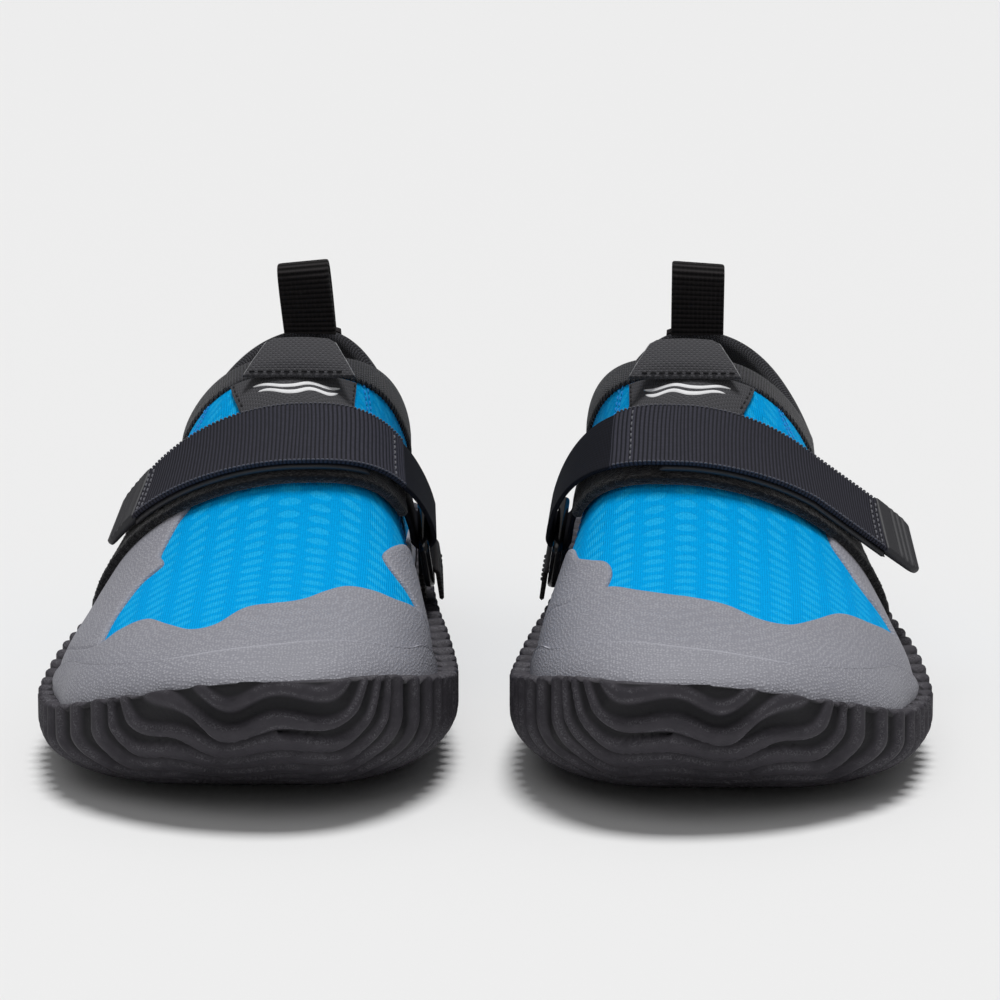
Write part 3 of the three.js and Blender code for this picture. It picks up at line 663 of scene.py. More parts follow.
def plastic(name, base, roughness, grain=0.02):
    """Moulded plastic or print with a faint grain."""
    surface = Surface(name, roughness=roughness)
    surface.colour(surface.mix(surface.noise(350, 3), base, tinted(base, 1.35)))
    surface.relief(surface.noise(1600, 2), grain)
    return surface.material


def thread(name, base):
    """Sewing thread, with its twist."""
    surface = Surface(name, roughness=0.75, sheen=0.1, specular=0.3)
    twist = surface.noise(2600, 2)
    surface.colour(surface.mix(twist, base, tinted(base, 1.6, 0.003)))
    surface.relief(twist, 0.1)
    return surface.material


def felt(name, dark, light):
    """Moulded foam or fibre board with a short nap."""
    surface = Surface(name, roughness=0.95, sheen=0.15, specular=0.2)
    nap = surface.noise(1300, 4, roughness=0.75)
    surface.colour(surface.mix(surface.band(nap, 0.3, 0.7), dark, light))
    surface.relief(nap, 0.2)
    surface.relief(surface.cells(420), 0.1)
    return surface.material


BLUE = blue_neoprene()
GREY = grey_rubber()
SOLE = sole_rubber()
COLLAR = knit("collar_knit", rgb(60, 60, 67), rgb(82, 82, 90), 1.15)
LINING = knit("lining_knit", rgb(40, 40, 44), rgb(60, 60, 65), 0.9)
RIB_PITCH = 0.92
RIBBED = webbing("ribbed_webbing", rgb(45, 45, 54), RIB_PITCH, 0.55, 0.06, sheen=0.0)
SMOOTH = webbing("elastic_webbing", rgb(19, 20, 28), 0.5, 1.1, 0.04, 0.9, 0.0)
LOOP_PICK = 1.45
COARSE = webbing("pull_webbing", rgb(30, 27, 28), LOOP_PICK, 1.3, 0.28)
SELVEDGE = thread("selvedge", rgb(74, 74, 82))
BASKET = basket_cloth()
PILE = pile()
HOOK = plastic("hook_plastic", rgb(30, 30, 33), 0.5, 0.05)
TAB = plastic("tab_plastic", rgb(38, 38, 41), 0.55, 0.05)
GLOSS = plastic("ring_plastic", rgb(14, 14, 16), 0.16, 0.004)
BLACK_THREAD = thread("black_thread", rgb(16, 16, 19))
GREY_THREAD = thread("grey_thread", rgb(88, 88, 94))
BLUE_THREAD = thread("blue_thread", rgb(8, 122, 186))
WHITE_PRINT = plastic("white_print", rgb(212, 212, 214), 0.6, 0.03)
CUT_EDGE = felt("cut_edge", rgb(130, 130, 134), rgb(186, 186, 188))
BOARD_FIBRE = felt("board_fibre", rgb(150, 140, 118), rgb(186, 176, 154))
FOOTBED_FOAM = felt("footbed_foam", rgb(28, 28, 31), rgb(52, 52, 56))


# ------------------------------------------------------------------ the upper
INNER_EDGE = 128 * RAD
VAMP_TURN, VAMP_TOP = 96.0, 40 * RAD
HEEL_TURN = 150.0
UPPER_TOP = BINDING + 1.0
TOE_ROWS = [0, 0.4, 0.9, 1.6, 2.5, 3.6, 5]      # closer together round the toe tip


def vamp_edge(s):
    """Angle of the seam between the vamp and a quarter."""
    return INNER_EDGE + (VAMP_TOP - INNER_EDGE) * np.clip((s - VAMP_TURN) / 40, 0, 1) ** 0.8


def foot_edge(s):
    """Angle of the cloth's lower edge, which closes behind the heel."""
    return INNER_EDGE + (math.pi - INNER_EDGE) * np.clip((s - 132) / 18, 0, 1) ** 1.5


def cloth_patch(side, name, stations, low, high, columns, node):
    """A neoprene panel between two edges given as angles that change with the station."""
    s = stations[:, None]
    a = low(s) + (high(s) - low(s)) * np.linspace(0, 1, columns)
    add_layer(side, name, s, a, 0, -NEOPRENE, [BLUE, LINING], [node])


def upper(side):
    """The vamp and the two quarters."""
    rows = np.concatenate([TOE_ROWS, np.arange(6.5, UPPER_TOP, 1.5), [UPPER_TOP]])
    cloth_patch(side, "vamp_cloth", rows, lambda s: -vamp_edge(s), vamp_edge, 121, "vamp")
    for name, sign in (("medial", 1), ("lateral", -1)):
        edges = (vamp_edge, foot_edge) if sign > 0 else (lambda s: -foot_edge(s), lambda s: -vamp_edge(s))
        cloth_patch(side, f"{name}_cloth", rows[rows > 100], *edges, 90, f"{name}_quarter")
        seam(side, name, sign)


def seam(side, name, sign):
    """The flat seam between the vamp and a quarter: two rows of stitches."""
    s = np.arange(104, BINDING - 1, 0.8)
    rows = []
    for shift in (-0.022, 0.022):
        a = sign * (vamp_edge(s) + shift)
        rows.append((raised(s, a, 0.1), last_normal(s, a)))
    add_stitches(side, f"{name}_seam_thread", rows, BLUE_THREAD, "boot", 1.5, 0.5, 0.22)


def under_foot(side, name, first, inset, top, bottom, material, node):
    """A layer under the foot, from a station near the toes to the heel."""
    s = np.linspace(first, HEEL_TURN - 1, 80)[:, None]
    low = foot_edge(s) + inset
    a = low + 2 * (math.pi - low) * np.linspace(0, 1, 60)
    add_layer(side, name, s, a, top, bottom, [material], [node])


def inside(side):
    """The insole board and, on it, the footbed."""
    under_foot(side, "board", 4, 0.02, 0, -3, BOARD_FIBRE, "insole_board")
    under_foot(side, "inner_sole", 9, 0.05, -3.1, -7.3, FOOTBED_FOAM, "footbed")


# The collar's section: station, height above the last, round from the outside low to the inside low.
COLLAR_SECTION = [(177.4, 0.05), (177.8, 0.55), (179, 0.9), (182, 1.0), (186, 1.1), (188.4, 1.0),
                  (189.4, 0.55), (190, -0.3), (190, -1.5), (189.6, -2.5), (188.6, -3.3), (186, -3.6),
                  (182, -3.5), (177.6, -3.4)]


def collar_drop(angles):
    """How much further down the knit reaches at the front."""
    return 4.5 * smooth((np.cos(angles) + 0.1) / 0.5)


def collar(side):
    """The knit binding round the ankle opening."""
    angles = np.linspace(0, 2 * math.pi, 241)[:-1]
    points, lies = [], []
    for station, height in COLLAR_SECTION:
        if height > 0:
            station = station - collar_drop(angles) * (1 - smooth((station - COLLAR_SECTION[0][0]) / 8))
        points.append(raised(station, angles, height))
        lies.append(lie_of(station, angles) + [0, height, 0])
    half = len(COLLAR_SECTION) // 2
    points = np.array(points)
    knit_points, quads, _ = shell_mesh(points[:half], points[half:][::-1], True)
    lie = np.concatenate(lies[:half] + lies[half:][::-1])
    add_mesh(side, "collar_knit", knit_points, quads, [COLLAR], "boot", ["collar"], lie,
             sharp=60)
    zigzag(side)


ZIGZAG_STATION = 178.2


def zigzag(side):
    """Zigzag stitches that hold the collar's lower edge, all the way round but under the tongue patch."""
    angles = np.linspace(27, 333, 900) * RAD
    turned = between(angles, resample(raised(ZIGZAG_STATION, angles, 0), 1.25))
    low = np.arange(len(turned)) % 2 == 0
    points = raised(np.where(low, 176.7, 180.1) - collar_drop(turned), turned, np.where(low, 0.1, 0.95))
    normals = last_normal(ZIGZAG_STATION, turned)
    add_threads(side, "collar_zigzag", points[:-1], points[1:], normals[:-1], BLACK_THREAD,
                "boot", 0.24)


# ------------------------------------------------------------------ bonded rubber
HIDDEN = 105 * RAD
# The edges differ a little between the two boots, as hand-laid rubber does.
cap_edge = {
    "right": curve([(-112, 96), (-90, 92), (-76, 84), (-64, 62), (-56, 53), (-47, 53.5), (-37, 51), (-30, 40),
                    (-24, 32), (-16, 33), (-8, 43.5), (0, 46.5), (6, 50), (12, 56.5), (19, 62.5), (30, 65.5),
                    (43, 68.5), (62, 79), (90, 84), (112, 88)]),
    "left": curve([(-112, 96), (-90, 94), (-74, 91), (-55, 74.5), (-44, 66.5), (-36, 52), (-29, 42),
                   (-20, 41), (-11, 48), (-1, 52.5), (12, 58.5), (23, 65), (33, 66), (45, 68), (62, 79),
                   (90, 84), (112, 88)]),
}
inner_wing_top = {
    "right": curve([(72, 70), (78, 64), (81.5, 54), (84, 45), (87.5, 38), (91.5, 35.5), (97.5, 40), (104, 48),
                    (110, 57), (118, 72), (150, 92)]),
    "left": curve([(58, 30), (66, 25), (75, 22.5), (83, 25), (88, 33), (95, 43), (104, 51), (110, 59),
                   (118, 73), (150, 92)]),
}
outer_wing_top = {
    "right": curve([(49, 58), (62, 51.5), (75, 45.5), (86, 41.5), (91, 36.5), (94, 36.8), (98, 38.5),
                    (104, 37.5), (110, 35.5), (116, 32), (126, 40), (134, 66), (150, 88)]),
    "left": curve([(88, 77), (93, 72), (96.5, 66), (100, 58), (106, 52), (110, 48), (113, 47.5), (117, 47),
                   (123, 42), (130, 52), (138, 72), (150, 88)]),
}
INNER_WING_START = {"right": 74, "left": 60}
OUTER_WING_START = {"right": 50, "left": 89}
bumper_edge = curve([(-112, 92), (-90, 80), (-76, 68), (-69, 58), (-64, 44), (-59, 29), (-54, 20),
                     (-41, 13.2), (-8, 12.5), (13, 16), (33, 22), (50, 33), (58, 43), (64, 55), (74, 66),
                     (90, 74), (112, 80)])
heel_top = curve([(90, 150), (105, 159), (120, 164), (150, 169), (180, 171), (210, 169), (240, 164),
                  (255, 159), (270, 150)])
ROLL = np.array([2.0, 1.3, 0.8, 0.45, 0.2, 0.06, 0.0])       # distances to a rubber edge
ROLL_SHARE = np.array([1.0, 0.97, 0.88, 0.72, 0.5, 0.25, 0.0])


def rolled(near_edge):
    """Height of the rubber at a distance inside its own edge."""
    return OVERLAY * np.interp(near_edge, ROLL[::-1], ROLL_SHARE[::-1])


def rubber(side, name, s, a, height, node, painted_highlight=0):
    """A piece of bonded rubber, with the strength of the painted highlight on the bumper's edge."""
    lie = lie_of(s, a)
    lie[..., 2] = painted_highlight
    add_layer(side, name, s, a, height, -0.5, [GREY], [node], lie)


CAP_ROLL = 1.25                # how much wider the cap's rounded edge is than the other pieces'
BUMPER_SLOPE = 2.2


def toe_cap(side):
    """The toe's rubber, thicker below the bumper's edge."""
    a = np.linspace(-HIDDEN, HIDDEN, 301)[None, :]
    edge = cap_edge[side](a / RAD)
    bump = np.minimum(bumper_edge(a / RAD), edge - 4.5)
    low = np.linspace(0, 1, 26)[:-1, None] * (bump - BUMPER_SLOPE)
    middle = bump + np.linspace(-1, 1, 16)[:, None] * BUMPER_SLOPE
    high = bump + BUMPER_SLOPE + np.linspace(0, 1, 40)[1:-1, None] * (edge - 2.6 - bump - BUMPER_SLOPE)
    s = np.maximum(np.concatenate([low, middle, high, edge - ROLL[:, None] * CAP_ROLL]), 0)
    bead = 0.45 * np.exp(-((s - bump + 0.2) / 0.55) ** 2)
    height = rolled((edge - s) / CAP_ROLL) + BUMPER * smooth((bump - s) / BUMPER_SLOPE + 0.5) + bead
    # The last value is the strength of a painted highlight along the bumper's edge.
    rubber(side, "toe_rubber", s, a, height, "toe_cap", np.exp(-((s - bump - 0.1) / 0.65) ** 2))


def side_rubber(side, name, sign, top_of, first, node):
    """A rubber wing: from its top edge, which changes with the station, down inside the sole's wall. Where it
    lies under the toe cap it is a little lower."""
    s = np.concatenate([first + np.linspace(0, 2, 8), np.arange(first + 2.5, HEEL_TURN, 0.5), [HEEL_TURN]])
    s = s[:, None]
    top = top_of(s) * RAD
    low = np.maximum(np.minimum(HIDDEN, foot_edge(s) - 0.01), top + 0.06)
    radius = np.linalg.norm(last_point(s, sign * (top + 0.02)) - last_point(s, sign * top), axis=-1) / 0.02
    turn_radius = np.maximum(radius, 5)
    roll = np.minimum(ROLL[::-1] / turn_radius, (low - top) * 0.8)
    start = top + roll[:, -1:]
    a = np.concatenate([top + roll, start + (low - start) * np.linspace(0, 1, 40)[1:]], axis=1)
    slope = np.abs(np.gradient(top[:, 0], s[:, 0]))[:, None] * radius
    inward = (a - top) * turn_radius / np.sqrt(1 + slope**2)
    a = sign * a
    under_cap = smooth((cap_edge[side](a / RAD) - s) / 1.5)
    height = np.minimum(rolled(inward), rolled(np.minimum(s - first, 2.5))) - 0.45 * under_cap
    rubber(side, name, s, a, height, node)


def heel_rubber(side):
    """The rubber round the heel."""
    a = np.linspace(90, 270, 181)[None, :] * RAD
    top, low = heel_top(a / RAD), HEEL_TURN - 0.5
    body = low + np.linspace(0, 1, 24)[:-1, None] * (top - 2.5 - low)
    s = np.concatenate([np.minimum(body, top - 2.1), top - ROLL[:, None]])
    rubber(side, "heel_rubber", s, a, rolled(top - s), "heel_counter")


def bonded_rubber(side):
    toe_cap(side)
    side_rubber(side, "medial_rubber", 1, inner_wing_top[side], INNER_WING_START[side], "medial_wing")
    side_rubber(side, "lateral_rubber", -1, outer_wing_top[side], OUTER_WING_START[side], "lateral_wing")
    heel_rubber(side)


# ------------------------------------------------------------------ the outsole
sole_inner = curve([(0, 42), (30, 46), (60, 50), (85, 50.5), (120, 47), (150, 43), (180, 40), (210, 38),
                    (240, 37.5), (285, 37.5)])
sole_outer = curve([(0, 37), (30, 48.5), (60, 55.5), (85, 59), (120, 57), (150, 52), (180, 47), (210, 42),
                    (240, 39), (285, 38)])
wall_inner = curve([(0, 38), (15, 36.5), (40, 31), (80, 24), (120, 25), (180, 28), (240, 32), (285, 35)])
wall_outer = curve([(0, 38), (12, 32), (40, 23), (80, 18.5), (120, 22), (180, 28), (240, 32), (285, 35)])
tread_inset = curve([(0, 34), (40, 34), (70, 28), (100, 20), (130, 13), (285, 12)])
TOE_CENTRE = 8.0
LUG_PITCH, LUG_WAVE, LUG_WAVELENGTH = 7.6, 2.4, 27.0
GROOVE, WALL_GROOVE = 2.7, 2.3
LEAST_WALL = 1.0               # rubber left between a groove and the room of the upper
SHOULDER = 0.62                # share of the wall's height where it stands upright
HEEL_LUG = 277.0               # behind this the tread ends in one solid lug
# The wall's top edge: distance inwards, drop below the wall's height.
EDGE_ROUND = [(0.0, 1.1), (0.25, 0.55), (0.7, 0.2), (1.4, 0.0), (2.2, 0.0), (3.2, 0.1), (4.5, 0.2), (6.5, 0.2),
              (9.0, 0.2)]


def sole_edge(y, sign):
    """The sole's outline on its inner side (1) or its outer side (-1)."""
    end = rounding(y, 52, 2.3) * rounding(SOLE_LENGTH - y, 48, 2.2)
    centre = TOE_CENTRE * np.maximum(1 - y / 70, 0)
    half = sole_inner(y) if sign > 0 else -sole_outer(y)
    return centre + (half - centre) * end


def sole_rows(count):
    """Places along the sole, evenly spaced round its outline."""
    y = SOLE_LENGTH * (1 - np.cos(np.linspace(0, math.pi, 6000))) / 2
    gone = path_length(np.stack([y, (sole_edge(y, 1) - sole_edge(y, -1)) / 2], axis=1))
    return np.interp(np.linspace(0, gone[-1], count), gone, y)


def sole_hull():
    """The outsole's outside before the tread is cut, as closed sections across the foot."""
    y = sole_rows(470)
    inner, outer = sole_edge(y, 1), sole_edge(y, -1)
    centre, low = (inner + outer) / 2, spring(y)
    columns, feet = [], []
    for sign, edge, wall in ((1, inner, wall_inner(y)), (-1, outer, wall_outer(y))):
        foot = edge - sign * np.minimum(tread_inset(y), np.abs(edge - centre) * 0.66)
        shoulder = low + (wall - low) * SHOULDER
        bulge = [(foot + (edge - foot) * math.sin(v), low + (shoulder - low) * (1 - math.cos(v)))
                 for v in np.linspace(0, math.pi / 2, 20)]
        top = wall - EDGE_ROUND[0][1]
        upright = [(edge, shoulder + (top - shoulder) * v) for v in np.linspace(0, 1, 12)[1:-1]]
        reach = np.abs(edge - centre) * 0.9
        crest = [(edge - sign * np.minimum(inward, reach), wall - drop) for inward, drop in EDGE_ROUND]
        feet.append(foot)
        columns.append(bulge + upright + crest)
    bottom = [(feet[1] + (feet[0] - feet[1]) * v, low) for v in np.linspace(0, 1, 80)[1:-1]]
    loop = columns[1][::-1] + bottom + columns[0]
    return np.stack([np.stack([x, y, z], axis=-1) for x, z in loop], axis=1)


def tread(points):
    """Depth of the tread's grooves and the place on a lug, 0 in a groove and 1 on a crown."""
    x, y, z = points.T
    rise = np.maximum(z - spring(y), 0)
    ahead = np.clip(1 - y / 18, 0, 1) ** 0.6
    wall = smooth(rise / 7)
    wave = LUG_WAVE * np.sin(2 * math.pi * (x - 4) / LUG_WAVELENGTH)
    wave = wave + 0.35 * np.sin(2 * math.pi * (x / 17.3 + y / 61))
    wave = wave * (1 - 0.85 * wall * (1 - ahead))
    phase = (y - ahead * rise * 0.95 + wave + 2.0) / LUG_PITCH
    place_on = np.abs((phase % 1.0) - 0.5) * 2
    lug = smooth((place_on - 0.10 - 0.16 * wall) / (0.42 + 0.22 * wall))
    lug = np.maximum(lug, smooth((y - HEEL_LUG) / 3))
    crown = 0.25 * smooth((1 - place_on) / 0.5) * (place_on > 0.5) * (y < HEEL_LUG)
    deepest = (GROOVE + (WALL_GROOVE - GROOVE) * wall) * (1 - 0.8 * ahead * smooth((rise - 6) / 7))
    return deepest * (1 - lug) + crown * (1 - wall), lug


def vertex_values(mesh, name):
    """The places or normals of a mesh's points."""
    values = np.zeros(len(mesh.vertices) * 3)
    mesh.vertices.foreach_get(name, values)
    return values.reshape(-1, 3)


def outsole():
    """Points, faces and cloth places of the sole: its hull, cut by the tread and then hollowed."""
    rows = sole_hull()
    mesh = new_mesh("hull", rows.reshape(-1, 3).tolist(), grid_quads(*rows.shape[:2], True).tolist())
    hull = add_object("hull", mesh)
    clean_hull(mesh)
    points, normals = vertex_values(mesh, "co"), vertex_values(mesh, "normal")
    if (normals[:, 2] * np.sign(points[:, 2] - 12)).sum() < 0:
        normals = -normals
    depth, lug = tread(points)
    sideways = np.where(points[:, 0] > 0, sole_edge(points[:, 1], 1) - points[:, 0],
                        points[:, 0] - sole_edge(points[:, 1], -1))
    depth = depth * np.where(normals[:, 2] > 0.3, 1 - smooth((sideways - 2.5) / 5), 1)
    depth = np.minimum(depth, np.maximum(distance_to_room(points) - LEAST_WALL, 0))
    cut = points - normals * depth[:, None]
    mesh.vertices.foreach_set("co", cut.ravel())
    mesh.update()
    hollow(hull)
    final = vertex_values(mesh, "co")
    tree = KDTree(len(cut))
    for i, point in enumerate(cut):
        tree.insert(point, i)
    tree.balance()
    nearest = [tree.find(point) for point in final]
    lugs = np.array([lug[i] if distance < 1.2 else 0.7 for _, i, distance in nearest])
    faces = [list(p.vertices) for p in mesh.polygons]
    bpy.data.objects.remove(hull)
    return final, faces, np.stack([final[:, 0], final[:, 1], lugs], axis=-1)


def room_shape():
    """The room that the upper takes inside the sole, as points and faces."""
    stations = np.concatenate([[0, 0.5, 1.2, 2.2, 3.5, 5], np.arange(7, 179, 2.5)])[:, None]
    room = raised(stations, np.linspace(0, 2 * math.pi, 97)[:-1], OVERLAY + 0.35)
    count, columns = room.shape[:2]
    quads = grid_quads(count, columns, True).tolist()
    last = (count - 1) * columns
    quads += [list(range(columns))[::-1], list(range(last, last + columns))]
    return room.reshape(-1, 3).tolist(), quads


def distance_to_room(points):
    tree = BVHTree.FromPolygons(*room_shape())
    return np.array([tree.find_nearest(point)[3] for point in points.tolist()])


def clean_hull(mesh):
    """Joins points that fell together, fills the ends and turns all the faces outwards."""
    with editing(mesh) as work:
        bmesh.ops.remove_doubles(work, verts=work.verts, dist=0.01)
        bmesh.ops.dissolve_degenerate(work, edges=work.edges, dist=0.002)
        bmesh.ops.holes_fill(work, edges=work.edges)
        bmesh.ops.recalc_face_normals(work, faces=work.faces)
    mesh.update()


def hollow(hull):
    """Takes the room of the upper out of the sole."""
    mesh = new_mesh("room", *room_shape())
    tool = add_object("room", mesh)
    clean_hull(mesh)
    cutter = hull.modifiers.new("hollow", "BOOLEAN")
    cutter.operation = "DIFFERENCE"
    cutter.object = tool
    for solver in ("MANIFOLD", "EXACT"):
        cutter.solver = solver
        graph = bpy.context.evaluated_depsgraph_get()
        made = bpy.data.meshes.new_from_object(hull.evaluated_get(graph))
        if len(made.vertices) > 0:
            break
    hull.modifiers.clear()
    hull.data.clear_geometry()
    hull.data.from_pydata([v.co[:] for v in made.vertices], [], [list(p.vertices) for p in made.polygons])
    hull.data.update()
    bpy.data.objects.remove(tool)


def add_outsole(side, points, faces, lie):
    """The sole's piece. It is shaped once, and the left one is its mirror image."""
    if side == "left":
        faces = [face[::-1] for face in faces]
    mesh = new_mesh(f"{side}_boot_tread", place(side, points).tolist(), faces)
    dress(mesh, [SOLE], lie, 50)
    assign(add_object(mesh.name, mesh), side, "boot", ["outsole"])


# ------------------------------------------------------------------ straps
STRAP_STATION, STRAP_SLANT = 125.0, 0.06


def strap_middle(a):
    """Station of the strap's middle line, which slants a little over the instep."""
    return STRAP_STATION + STRAP_SLANT * a / RAD


# Each strap is pulled through its ring by a different amount: the seam to the elastic, the place where
# the strap leaves the instep and its free length from there to the tab.
HINGE_ANGLE = {"right": 45 * RAD, "left": 24 * RAD}
LIFT_ANGLE = {"right": -46 * RAD, "left": -38 * RAD}
FREE_LENGTH = {"right": 3.0, "left": 25.0}
TAB_LENGTH = 12.0
SELVEDGE_WIDTH = 1.6
PILE_INNER, PILE_OUTER = 58 * RAD, -84 * RAD
HOOK_START = 18 * RAD          # from the sewn line to the hook strip
TAB_BEND = {"right": 1.0, "left": 0.3}
GRIP_PITCH = 1.9
BAR_ANGLE = 74 * RAD


def across_places(width):
    """Places across a strap, closer together at its rounded edges."""
    half = width / 2
    edge = np.array([0, 0.06, 0.18, 0.35, 0.6, 0.9])
    inner = np.linspace(-half + 1.2, half - 1.2, 22)
    return np.concatenate([-half + edge, inner, half - edge[::-1]])


def edge_share(places, width, reach=0.6):
    """Share of a strap's thickness left at its rounded edges."""
    return swell(width / 2 - np.abs(places), reach, 0.08)


def strap_rows(angles, width):
    """Points and normals on the last for the rows of a strap."""
    points, normals = [], []
    for a in angles:
        s = strap_middle(a) + np.linspace(-26, 26, 209)
        gone = path_length(last_point(s, a))
        at = np.interp(across_places(width), gone - gone[len(s) // 2], s)
        points.append(last_point(at, a))
        normals.append(last_normal(at, a))
    return np.array(points), np.array(normals)


def lengthen(points, normals, direction, distance, count):
    """Carries a strap straight on from its last row."""
    steps = np.linspace(0, distance, count + 1)[1:, None, None]
    more = points[-1][None] + direction * steps
    kept = np.repeat(normals[-1][None], count, axis=0)
    return np.concatenate([points, more]), np.concatenate([normals, kept])


def strap_sheet(points, normals, low, high, width, spacing, ribs=0.0, pitch=RIB_PITCH):
    """Outer and inner grids of a strap between two heights, with its place on the cloth."""
    middle = points.shape[1] // 2
    places = resample(points[:, middle], spacing)
    points, normals = between(points, places), unit(between(normals, places))
    gone = path_length(points[:, middle])[:, None]
    wide = across_places(width)[None, :]
    share = edge_share(wide, width) * swell(np.minimum(gone, gone[-1] - gone), 0.5, 0.08)
    centre, half = (low + high) / 2, (high - low) / 2
    selvedge = smooth((width / 2 - np.abs(wide)) / SELVEDGE_WIDTH)
    ribbing = ribs * np.cos(2 * math.pi * gone / pitch) * selvedge
    outer = points + normals * (centre + half * share + ribbing)[..., None]
    inner = points + normals * (centre - half * share)[..., None]
    return outer, inner, np.stack(np.broadcast_arrays(wide, gone, selvedge), axis=-1)


def stitch_lines(outer, lie, width, insets=(), across_at=()):
    """Rows for stitches along a strap's edges, and across it at the given distances from its start."""
    out = unit(np.cross(np.gradient(outer, axis=1), np.gradient(outer, axis=0)))
    if np.einsum("ijk,ijk->ij", out, outer - outer.mean(axis=(0, 1))).sum() < 0:
        out = -out
    proud = outer + out * 0.08
    rows = []
    for place_on in [sign * (width / 2 - inset) for inset in insets for sign in (-1, 1)]:
        column = int(np.argmin(np.abs(lie[0, :, 0] - place_on)))
        rows.append((proud[4:-4, column], out[4:-4, column]))
    for distance in across_at:
        line = int(np.argmin(np.abs(lie[:, 0, 1] - distance)))
        rows.append((proud[line, 5:-5], out[line, 5:-5]))
    return rows


def flap(side):
    """The loose end of the strap: ribbed webbing, the hook strip under it and the moulded pull tab."""
    lift, free = LIFT_ANGLE[side], FREE_LENGTH[side]
    points, normals = strap_rows(np.linspace(HINGE_ANGLE[side] + 0.015, lift, 90), STRAP_WIDTH)
    middle = points.shape[1] // 2
    onward = unit(points[-1, middle] - points[-2, middle])
    last_row, last_normals = points[-1], normals[-1]
    points, normals = lengthen(points, normals, onward, free, 6)
    outer, inner, lie = strap_sheet(points, normals, UNDER_STRAP, UNDER_STRAP + WEBBING, STRAP_WIDTH, 0.2, 0.07)
    add_shell(side, "ribbed_strap", outer, inner, [RIBBED], "strap_flap", ["strap_webbing"],
              lie)
    length = lie[-1, 0, 1]
    rows = stitch_lines(outer, lie, STRAP_WIDTH, across_at=(4.6, length - 2.4, length - 4.2))
    add_stitches(side, "strap_thread", rows, GREY_THREAD, "strap_flap", 1.6)
    rows = stitch_lines(outer, lie, STRAP_WIDTH, insets=[0.45])
    add_stitches(side, "strap_selvedge", rows, SELVEDGE, "strap_flap", 1.0, 0.25)
    points, normals = strap_rows(np.linspace(HINGE_ANGLE[side] - HOOK_START, lift, 60), HOOK_WIDTH)
    points, normals = lengthen(points, normals, onward, free, 6)
    outer, inner, _ = strap_sheet(points, normals, UNDER_HOOK, UNDER_STRAP - 0.1, HOOK_WIDTH, 0.8)
    add_shell(side, "hook_strip", outer, inner, [HOOK], "strap_flap", ["hook_pad"])
    end_tab(side, last_row, last_normals, onward)


def end_tab(side, row, row_normals, onward):
    """A moulded tab with rounded corners, thinner towards its end, with grip ridges."""
    width, middle = STRAP_WIDTH + 0.6, len(row) // 2
    places = across_places(width)[None, :]
    steps = (np.linspace(0, 1, 60) * TAB_LENGTH)[:, None]
    base = row[middle] + onward * (FREE_LENGTH[side] - 1.2)
    normal, across = row_normals[middle], unit(row[-1] - row[0])
    reach = 0.72 + 0.28 * swell(TAB_LENGTH - steps, 4)
    bend = TAB_BEND[side] * (steps / TAB_LENGTH) ** 1.6
    centre = base + onward * steps[..., None] * 1.05 - normal * bend[..., None]
    points = centre + across * (reach * places)[..., None]
    share = edge_share(places, width, 0.9) * swell(np.minimum(steps, TAB_LENGTH - steps), 0.8, 0.1)
    half = 1.35 - 0.35 * smooth(steps / TAB_LENGTH)
    gripped = smooth(steps - 3.5) * smooth(TAB_LENGTH - 1.5 - steps)
    gripped = gripped * smooth((width / 2 - np.abs(places)) / SELVEDGE_WIDTH)
    grip = 0.22 * np.cos(2 * math.pi * steps / GRIP_PITCH) * gripped
    height = UNDER_STRAP + 0.65
    outer = points + normal * (height + half * share + grip)[..., None]
    inner = points + normal * (height - half * share)[..., None]
    add_shell(side, "pull_tab", outer, inner, [TAB], "strap_flap", ["end_tab"])


def pile_strap(side):
    """The fuzzy strap over the instep. Its surface is uneven, and its outer end goes into the sole's edge."""
    points, normals = strap_rows(np.linspace(PILE_INNER, PILE_OUTER, 150), PILE_WIDTH)
    outer, inner, lie = strap_sheet(points, normals, 0.9, UNDER_PILE + 1.7, PILE_WIDTH, 0.6)
    u, v = lie[..., 0], lie[..., 1]
    fuzz = 0.16 * np.sin(u * 4.1 + np.sin(v * 1.7) * 2) * np.sin(v * 3.7 + np.cos(u * 1.3) * 2)
    fuzz = fuzz + 0.1 * np.sin(u * 9.7 + v * 2.3) * np.sin(v * 8.9 - u * 1.9)
    outer = outer + unit(outer - inner) * fuzz[..., None]
    add_shell(side, "pile_band", outer, inner, [PILE], "boot", ["pile_strap"], sharp=80)


ANCHOR_WIDTH = 20.0
BAR_PLAY = 0.9
BAR_HEIGHT = UNDER_PILE + ELASTIC + BAR_PLAY + RING_BAR / 2
FOLD_RADIUS = RING_BAR / 2 + BAR_PLAY + ELASTIC / 2
RING_STATION = float(strap_middle(BAR_ANGLE))
RING_WIDTH = station_tangent(np.array(RING_STATION), np.array(BAR_ANGLE))
RING_OUT = last_normal(RING_STATION, BAR_ANGLE)
RING_DOWN = unit(np.cross(RING_WIDTH, RING_OUT))
RING_TOP = last_point(RING_STATION, BAR_ANGLE) + RING_OUT * BAR_HEIGHT


def bar_rows(outs, downs, width):
    """Rows along the ring's width at given distances out and down from its upper bar."""
    places = across_places(width)
    centre = RING_TOP[None] + RING_OUT * np.asarray(outs)[:, None] + RING_DOWN * np.asarray(downs)[:, None]
    return centre[:, None] + RING_WIDTH * places[None, :, None]


